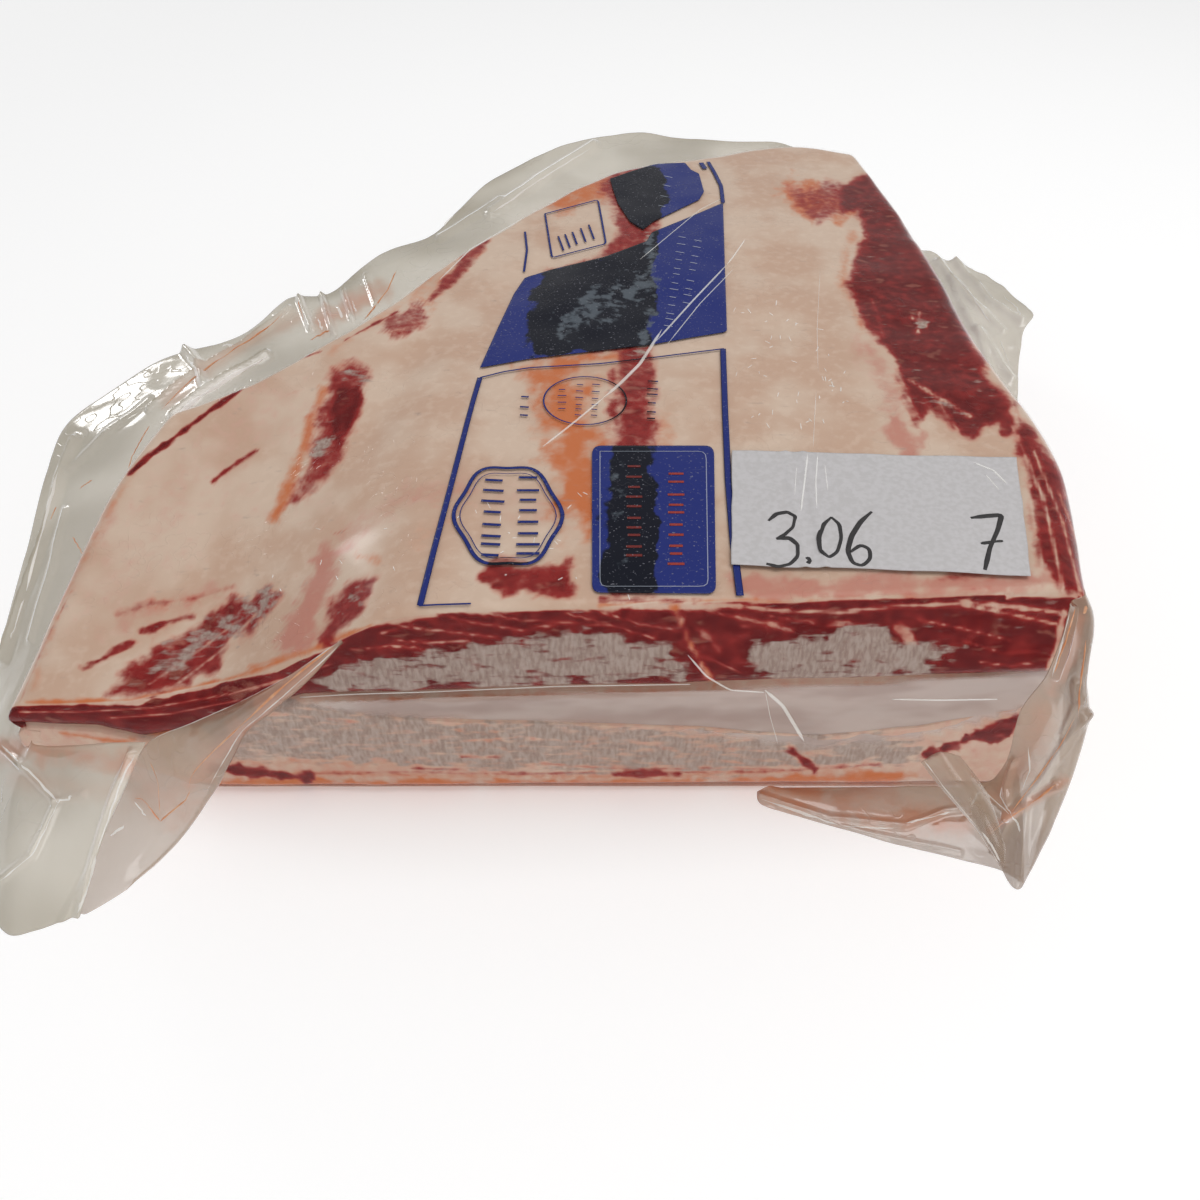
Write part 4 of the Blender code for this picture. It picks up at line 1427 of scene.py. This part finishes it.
# Pleats and glints on the top and on the label, and pleats on the cut face: whitish strips that are painted
# highlights, partly doubled film at the pleats
PLEATS = [
    ([(727, 265), (692, 302), (656, 342)], 0.7),
    ([(733, 270), (700, 304), (668, 344)], 0.35),
    ([(662, 330), (640, 364), (620, 384), (604, 398)], 1.1),
    ([(604, 398), (575, 422), (543, 447)], 0.6),
    ([(745, 240), (734, 256), (727, 265)], 0.5),
    ([(820, 270), (817, 330), (818, 372)], 0.18),
    ([(816, 392), (813, 448)], 0.2),
    ([(524, 218), (470, 250), (440, 280)], 0.5),
    ([(640, 260), (700, 210), (720, 200)], 0.35),
]
LABEL_GLINTS = [
    ([(807, 457), (804, 484), (800, 516)], 0.6),
    ([(817, 457), (815, 486), (816, 512)], 0.45),
    ([(824, 468), (827, 494)], 0.3),
    ([(796, 470), (794, 498)], 0.25),
    ([(972, 466), (992, 474), (1006, 488)], 0.7),
    ([(984, 478), (998, 494)], 0.35),
]
GLINT_FIELDS = [((733, 300), (850, 430), 46), ((250, 500), (560, 600), 22), ((560, 480), (700, 596), 16)]
FACE_PLEATS = [
    ([(765, 690), (783, 706), (804, 741)], 1.8),
    ([(765, 690), (770, 716), (778, 744)], 0.4),
    ([(688, 655), (706, 676), (730, 690), (764, 692)], 0.9),
    ([(892, 699), (940, 700), (997, 699)], 0.8),
    ([(300, 697), (350, 694), (420, 692), (560, 686), (690, 684)], 0.35),
]


def film_creases(sheets, name, lines, material):
    """The lines along the folds: thin whitish ribbons of doubled film that are painted highlights, or juice
    that has run into creases.
    """
    parts = []
    for surface, pixels, width in lines:
        path = laid_on(sheets[surface], pixels, 0.3)
        uneven = 0.6 * width * (0.7 + 0.6 * noise(path[:, 0], path[:, 2], 3.0, 241))
        parts.append(ribbon(path, uneven, 0.08, facing_camera(path), ends=0.1))
    add_piece(make_mesh(name, *joined(parts)), material, "bag_film")


def film_pleats_and_painted_glints(highlight_film):
    """The pleats in the tight film on the top and on the cut face, and the small glints round them, as
    whitish strips: painted highlights, partly doubled film at the pleats.

    The film lies over the label too, and its glints there are above the paper's own creases.
    """
    parts = strokes_on_top(PLEATS, 0.05, 40, 0.3, ends=0.15)
    for pixels, width in FACE_PLEATS:
        path = smoothed(on_front(polyline(pixels, 40), 0.4), 3)
        parts.append(ribbon(path, 0.5 * width, 0.25, (0.0, -1.0, 0.0), ends=0.15))
    draw = np.random.default_rng(181)
    glints = []
    for (left, high), (right, low), count in GLINT_FIELDS:
        for _ in range(count):
            start = np.array([draw.uniform(left, right), draw.uniform(high, low)])
            turn, length = draw.uniform(0.0, math.pi), draw.uniform(2.0, 7.0)
            end = start + length * np.array([math.cos(turn), math.sin(turn)])
            glints.append(([start, end], draw.uniform(0.2, 0.45)))
    parts += strokes_on_top(glints, 0.03, 6, 0.12, section=3, ends=0.2)
    parts += strokes_on_top(LABEL_GLINTS, GLINTS_OVER_FILM, 30, 0.12, section=3, ends=0.15)
    add_piece(make_mesh("film_pleats_and_painted_glints", *joined(parts)), highlight_film, "bag_film")


# The print, by the photograph's pixels: fields, lines and rows of plain bars

BAND = [
    (480, 368), (497, 330), (514, 294), (525, 278), (551, 270), (605, 257), (648, 241), (651, 233),
    (688, 218), (723, 203), (725, 270), (727, 332), (690, 338), (651, 345), (590, 352), (530, 359),
]
SMALL_FIELD = [
    (610, 179), (633, 171), (656, 164), (685, 163), (691, 170), (699, 174), (704, 192), (699, 200),
    (676, 211), (653, 222), (643, 230), (630, 222), (618, 204), (613, 190),
]
BADGE_CORNERS = [(592, 446), (714, 446), (716, 594), (592, 593)]
BADGE_CORNER_RADIUS = 9.0
BADGE_INNER_LINE = ([(600, 452), (706, 452), (708, 587), (600, 587), (600, 452)], 0.25)
PRINTED_LINES = [
    ([(480, 378), (474, 398), (468, 420), (452, 482), (434, 550), (420, 606)], 1.45),
    ([(723, 349), (725, 410), (728, 479), (733, 540), (740, 596)], 1.7),
    ([(708, 162), (714, 172), (721, 186), (723, 203)], 1.5),
    ([(701, 163), (705, 169)], 2),
    ([(480, 378), (504, 372), (530, 368), (600, 364), (660, 357), (724, 349)], 0.6),
    ([(419, 606), (440, 605), (471, 604)], 0.5),
    ([(525, 232), (527, 250), (524, 272)], 0.8),
    ([(545, 214), (598, 200), (606, 244), (552, 258), (545, 214)], 0.7),
]
OVAL_CENTRE = (585, 401)
OVAL_RADII = (41.5, 24.0)
CREST_CENTRE = (508, 516)
CREST_RADII = (52.0, 50.0)
CREST_INNER_RADII = (46.0, 44.0)
# Rows of bars: its first and last bar's middle, a bar's length, its width in millimetres, how many
BLUE_BARS = [
    ((524, 414), (525, 398), 10, 0.7, 3, 195),
    ((651, 420), (653, 380), 11, 0.6, 6, 196),
    ((562, 410), (562, 390), 9, 0.4, 4, 197),
    ((578, 416), (580, 386), 8, 0.4, 6, 198),
    ((594, 416), (596, 386), 8, 0.4, 6, 199),
    ((490, 556), (494, 480), 24, 0.9, 8, 200),
    ((528, 556), (528, 478), 24, 0.9, 8, 201),
    ((560, 244), (592, 232), 16, 0.7, 5, 203),
]
PALE_BARS = [
    ((668, 328), (682, 238), 9, 0.5, 13, 191),
    ((686, 304), (698, 240), 9, 0.5, 9, 192),
    ((662, 206), (668, 178), 9, 0.6, 4, 202),
]
RED_BARS = [
    ((634, 556), (634, 468), 17, 0.9, 10, 193),
    ((676, 566), (676, 474), 17, 0.9, 10, 194),
]


def rounded_outline(corners, radius, count=12):
    """The outline of a polygon whose corners are rounded by arcs drawn as quadratic curves."""
    corners = np.asarray(corners, float)
    t = np.linspace(0.0, 1.0, count)[:, None]
    parts = []
    for before, here, after in zip(np.roll(corners, 1, axis=0), corners, np.roll(corners, -1, axis=0)):
        start = here + radius * (before - here) / np.linalg.norm(before - here)
        end = here + radius * (after - here) / np.linalg.norm(after - here)
        parts.append((1 - t) ** 2 * start + 2 * t * (1 - t) * here + t**2 * end)
    return np.vstack(parts)


def oval(centre, radii, lobes=0, depth=0.0, count=72):
    """A closed oval, whose radius swells and shrinks by a cosine with the given number of lobes."""
    turn = np.linspace(0.0, 2.0 * math.pi, count + 1)
    swell = 1.0 + depth * np.cos(lobes * turn)
    x, y = centre[0] + radii[0] * swell * np.cos(turn), centre[1] + radii[1] * swell * np.sin(turn)
    return np.stack([x, y], axis=-1)


def printed_field(name, outline, material, count=180, rings=44):
    """A field of ink laid on the film: rings that shrink from the outline to its middle."""
    outline = np.asarray(outline, float)
    edge = polyline(np.vstack([outline, outline[:1]]), count + 1)[:-1]
    middle = edge.mean(axis=0)
    shares = np.linspace(1.0, 0.0, rings + 1)[:-1, None, None]
    pixels = np.vstack([(middle + (edge - middle)[None] * shares).reshape(-1, 2), middle[None]])
    points = on_top(pixels, PRINT_OVER_FILM)
    number = np.arange(rings * count).reshape(rings, count)
    outer, inner = number[:-1], number[1:]
    quads = np.stack([outer, inner, np.roll(inner, -1, axis=1), np.roll(outer, -1, axis=1)], axis=-1)
    last = number[-1]
    tip = np.stack([last, np.full_like(last, rings * count), np.roll(last, -1)], axis=-1)
    mesh = make_mesh(name, points, quads.reshape(-1, 4), tip, top_marks(points))
    add_piece(mesh, material, "print_ink", wall=INK_WALL)


def printed_lines(name, lines, material, lift, steps):
    """Lines of ink laid on the film."""
    points, quads, triangles = joined(strokes_on_top(lines, lift, steps, 0.03, section=3))
    mesh = make_mesh(name, points, quads, triangles, top_marks(points), smooth=False)
    add_piece(mesh, material, "print_ink")


def bar_lines(rows):
    """Rows of short bars of uneven length and spacing, set square to the row."""
    lines = []
    for start, end, length, width, count, seed in rows:
        draw = np.random.default_rng(seed)
        start, end = np.asarray(start, float), np.asarray(end, float)
        run = (end - start) / np.linalg.norm(end - start)
        square = np.array([-run[1], run[0]])
        for share in (np.arange(count) + draw.uniform(-0.2, 0.2, count)) / (count - 1):
            middle = blend(start, end, share)
            half = 0.5 * length * draw.uniform(0.7, 1.0)
            lines.append(([middle - half * square, middle + half * square], width))
    return lines


def print_on_film(blue, pale, red):
    """All that is printed on the film: blue fields and lines, and plain bars where words would be."""
    printed_field("print_band", BAND, blue)
    printed_field("print_small_field", SMALL_FIELD, blue)
    printed_field("print_badge", rounded_outline(BADGE_CORNERS, BADGE_CORNER_RADIUS), blue)
    lines = PRINTED_LINES + [
        (oval(OVAL_CENTRE, OVAL_RADII), 0.45),
        (oval(CREST_CENTRE, CREST_RADII, 6, 0.05), 1.0),
        (oval(CREST_CENTRE, CREST_INNER_RADII, 6, 0.05), 0.25),
    ]
    printed_lines("print_lines", lines, blue, PRINT_OVER_FILM, 90)
    printed_lines("print_bars", bar_lines(BLUE_BARS), blue, PRINT_OVER_FILM, 6)
    printed_lines("print_badge_line", [BADGE_INNER_LINE], pale, BARS_OVER_FILM, 90)
    printed_lines("print_pale_bars", bar_lines(PALE_BARS), pale, BARS_OVER_FILM, 6)
    printed_lines("print_red_bars", bar_lines(RED_BARS), red, BARS_OVER_FILM, 6)


# The label

PEN_STROKES = [
    ([(768, 523), (776, 516), (787, 514), (795, 519), (793, 529), (784, 537), (776, 541)], 1),
    ([(776, 541), (789, 540), (798, 547), (798, 558), (790, 566), (778, 569), (766, 566)], 1.1),
    ([(806, 560), (809, 563), (807, 566)], 1.2),
    ([(831, 519), (823, 526), (818, 540), (820, 554), (828, 560), (837, 554), (841, 540), (839, 526),
      (831, 519)], 1),
    ([(871, 514), (860, 524), (851, 538), (847, 553), (852, 565), (862, 568), (870, 561), (869, 551),
      (860, 547), (850, 554)], 1.1),
    ([(970, 520), (986, 518), (1001, 517), (997, 532), (989, 550), (984, 572)], 1.2),
    ([(980, 546), (992, 544), (1002, 543)], 0.9),
]
LABEL_CORNERS = [(731, 566), (1030, 578), (1016, 459), (732, 452)]
LABEL_CREASES_X = (57.0, 61.5)


def label_height(x, y):
    """The label's height over the film: it follows the film with a slight ripple and has upright creases
    near its left.
    """
    ridge = sum(0.35 * np.exp(-(((x - at - 0.03 * (y + 86.0)) / 0.9) ** 2)) for at in LABEL_CREASES_X)
    ripple = 0.12 * noise(x, y, 9.0, 211) + 0.1 * crumple(x, y * 0.35, 14.0, 212)
    return film_height(x, y) + LABEL_OVER_FILM + ridge + ripple


def paper_label(paper, pen):
    """The label: a sheet between its four corners with slightly uneven edges, and pen strokes on it."""
    u, v = np.meshgrid(np.linspace(0.0, 1.0, 150), np.linspace(0.0, 1.0, 94))
    low_left, low_right, high_right, high_left = on_top(LABEL_CORNERS)
    lower, upper = blend(low_left, low_right, u[..., None]), blend(high_left, high_right, u[..., None])
    sheet = blend(lower, upper, v[..., None])
    x = sheet[..., 0] + 0.15 * noise(v * 60.0, u * 0.0, 7.0, 221) * np.abs(2 * u - 1) ** 8
    y = sheet[..., 1] + 0.15 * noise(u * 60.0, v * 0.0, 7.0, 222) * np.abs(2 * v - 1) ** 8
    points = np.stack([x, y, label_height(x, y)], axis=-1)
    sheet_mesh = make_mesh("label_sheet", points, grid_faces(94, 150))
    add_piece(sheet_mesh, paper, "label_paper", "paper_label", PAPER_WALL)
    parts = []
    for pixels, width in PEN_STROKES:
        path = smoothed(on_top(polyline(pixels, 48)), 2)
        path[:, 2] = label_height(path[:, 0], path[:, 1]) + PEN_OVER_LABEL
        wide = width * (1.0 + 0.18 * np.sin(np.linspace(0.0, 7.0, len(path))))
        parts.append(ribbon(path, wide, 0.07, section=4, ends=0.6))
    add_piece(make_mesh("label_numerals", *joined(parts)), pen, "pen_ink", "paper_label")


# The floor, the light and the camera

# Each light's name, place and size in metres, and watts
LIGHTS = [
    ("key", (0.35, 0, 1.3), 0.9, 7),
    ("spark", (-1.15, 1.15, 0.4), 0.3, 2),
    ("fill", (0.4, -1.1, 0.7), 0.7, 3),
]


def stage():
    """A plain pale floor, soft studio light and the photograph's camera."""
    floor_material, tree, shader, _ = new_material("pale_floor")
    feed(tree, shader, {"Base Color": (0.97, 0.97, 0.97, 1.0), "Roughness": 0.9})
    feed(tree, shader, {"Emission Color": (1.0, 1.0, 1.0, 1.0), "Emission Strength": 0.12})
    floor = bpy.data.meshes.new("floor")
    half = 4.0
    corners = [(-half, -half, 0.0), (half, -half, 0.0), (half, half, 0.0), (-half, half, 0.0)]
    floor.from_pydata(corners, [], [(0, 1, 2, 3)])
    floor.materials.append(floor_material)
    ground = bpy.data.objects.new("floor", floor)
    bpy.context.scene.collection.objects.link(ground)

    world = bpy.data.worlds.new("studio")
    world.use_nodes = True
    world.node_tree.nodes["Background"].inputs[0].default_value = (1.0, 1.0, 1.0, 1.0)
    world.node_tree.nodes["Background"].inputs[1].default_value = 0.5
    bpy.context.scene.world = world
    for name, place, size, energy in LIGHTS:
        light = bpy.data.lights.new(name, "AREA")
        light.size = size
        light.energy = energy
        lamp = bpy.data.objects.new(name, light)
        lamp.location = place
        aim = np.array([0.0, 0.0, 0.03]) - np.array(place)
        lamp.rotation_euler = (
            math.atan2(math.hypot(aim[0], aim[1]), -aim[2]), 0.0, math.atan2(aim[1], aim[0]) - math.pi / 2.0
        )
        bpy.context.scene.collection.objects.link(lamp)

    lens = bpy.data.cameras.new("photo_camera")
    lens.sensor_width = SENSOR_WIDTH
    lens.lens = FOCAL_PIXELS / PHOTO_PIXELS * SENSOR_WIDTH
    lens.clip_start = 0.01
    camera = bpy.data.objects.new("photo_camera", lens)
    camera.location = [c * MM for c in CAMERA_PLACE]
    camera.rotation_euler = (math.radians(90.0 - CAMERA_PITCH_DEG), 0.0, 0.0)
    bpy.context.scene.collection.objects.link(camera)
    bpy.context.scene.camera = camera
    bpy.context.scene.view_settings.view_transform = "Standard"


def main():
    """Sets the stage, mixes the finishes and adds every piece of the pack."""
    stage()
    beef = beef_material()
    margin = film_material("loose_film", 0.7, (colour(160, 150, 129), colour(194, 185, 168)), 38.0, 0.2)
    tent = film_material("tent_film", 0.6, (colour(142, 118, 98), colour(168, 147, 126)), 38.0, 0.25)
    # A whitish film for the folds, pleats and glints: painted highlights, partly doubled film
    highlight_film = film_material("folded_film_painted_highlights", 0.55, (colour(236, 233, 226), colour(246, 244, 240)), 90.0, 0.2)
    juice = plain_finish("meat_juice", colour(196, 126, 84), colour(206, 156, 120), 0.15, 300.0)
    blue = ink_material("blue_print", colour(38, 48, 112), colour(22, 24, 34), colour(92, 100, 108))
    pale = ink_material("pale_print", colour(150, 154, 180), colour(120, 126, 136), colour(150, 154, 160))
    red = ink_material("red_print", colour(150, 60, 54), colour(110, 46, 44), colour(130, 90, 86))
    paper = plain_finish("label_paper", colour(192, 189, 190), colour(184, 181, 181), 0.75, 700.0)
    pen = plain_finish("marker_ink", colour(26, 24, 26), colour(38, 34, 34), 0.5, 900.0)
    upper_slab(beef)
    lower_slab(beef)
    film_skin(skin_material())
    sheets = loose_film(margin, tent)
    film_creases(sheets, "film_folds_painted_highlights", CREASE_HIGHLIGHTS, highlight_film)
    film_creases(sheets, "juice_in_creases", JUICE_LINES, juice)
    film_pleats_and_painted_glints(highlight_film)
    print_on_film(blue, pale, red)
    paper_label(paper, pen)


main()
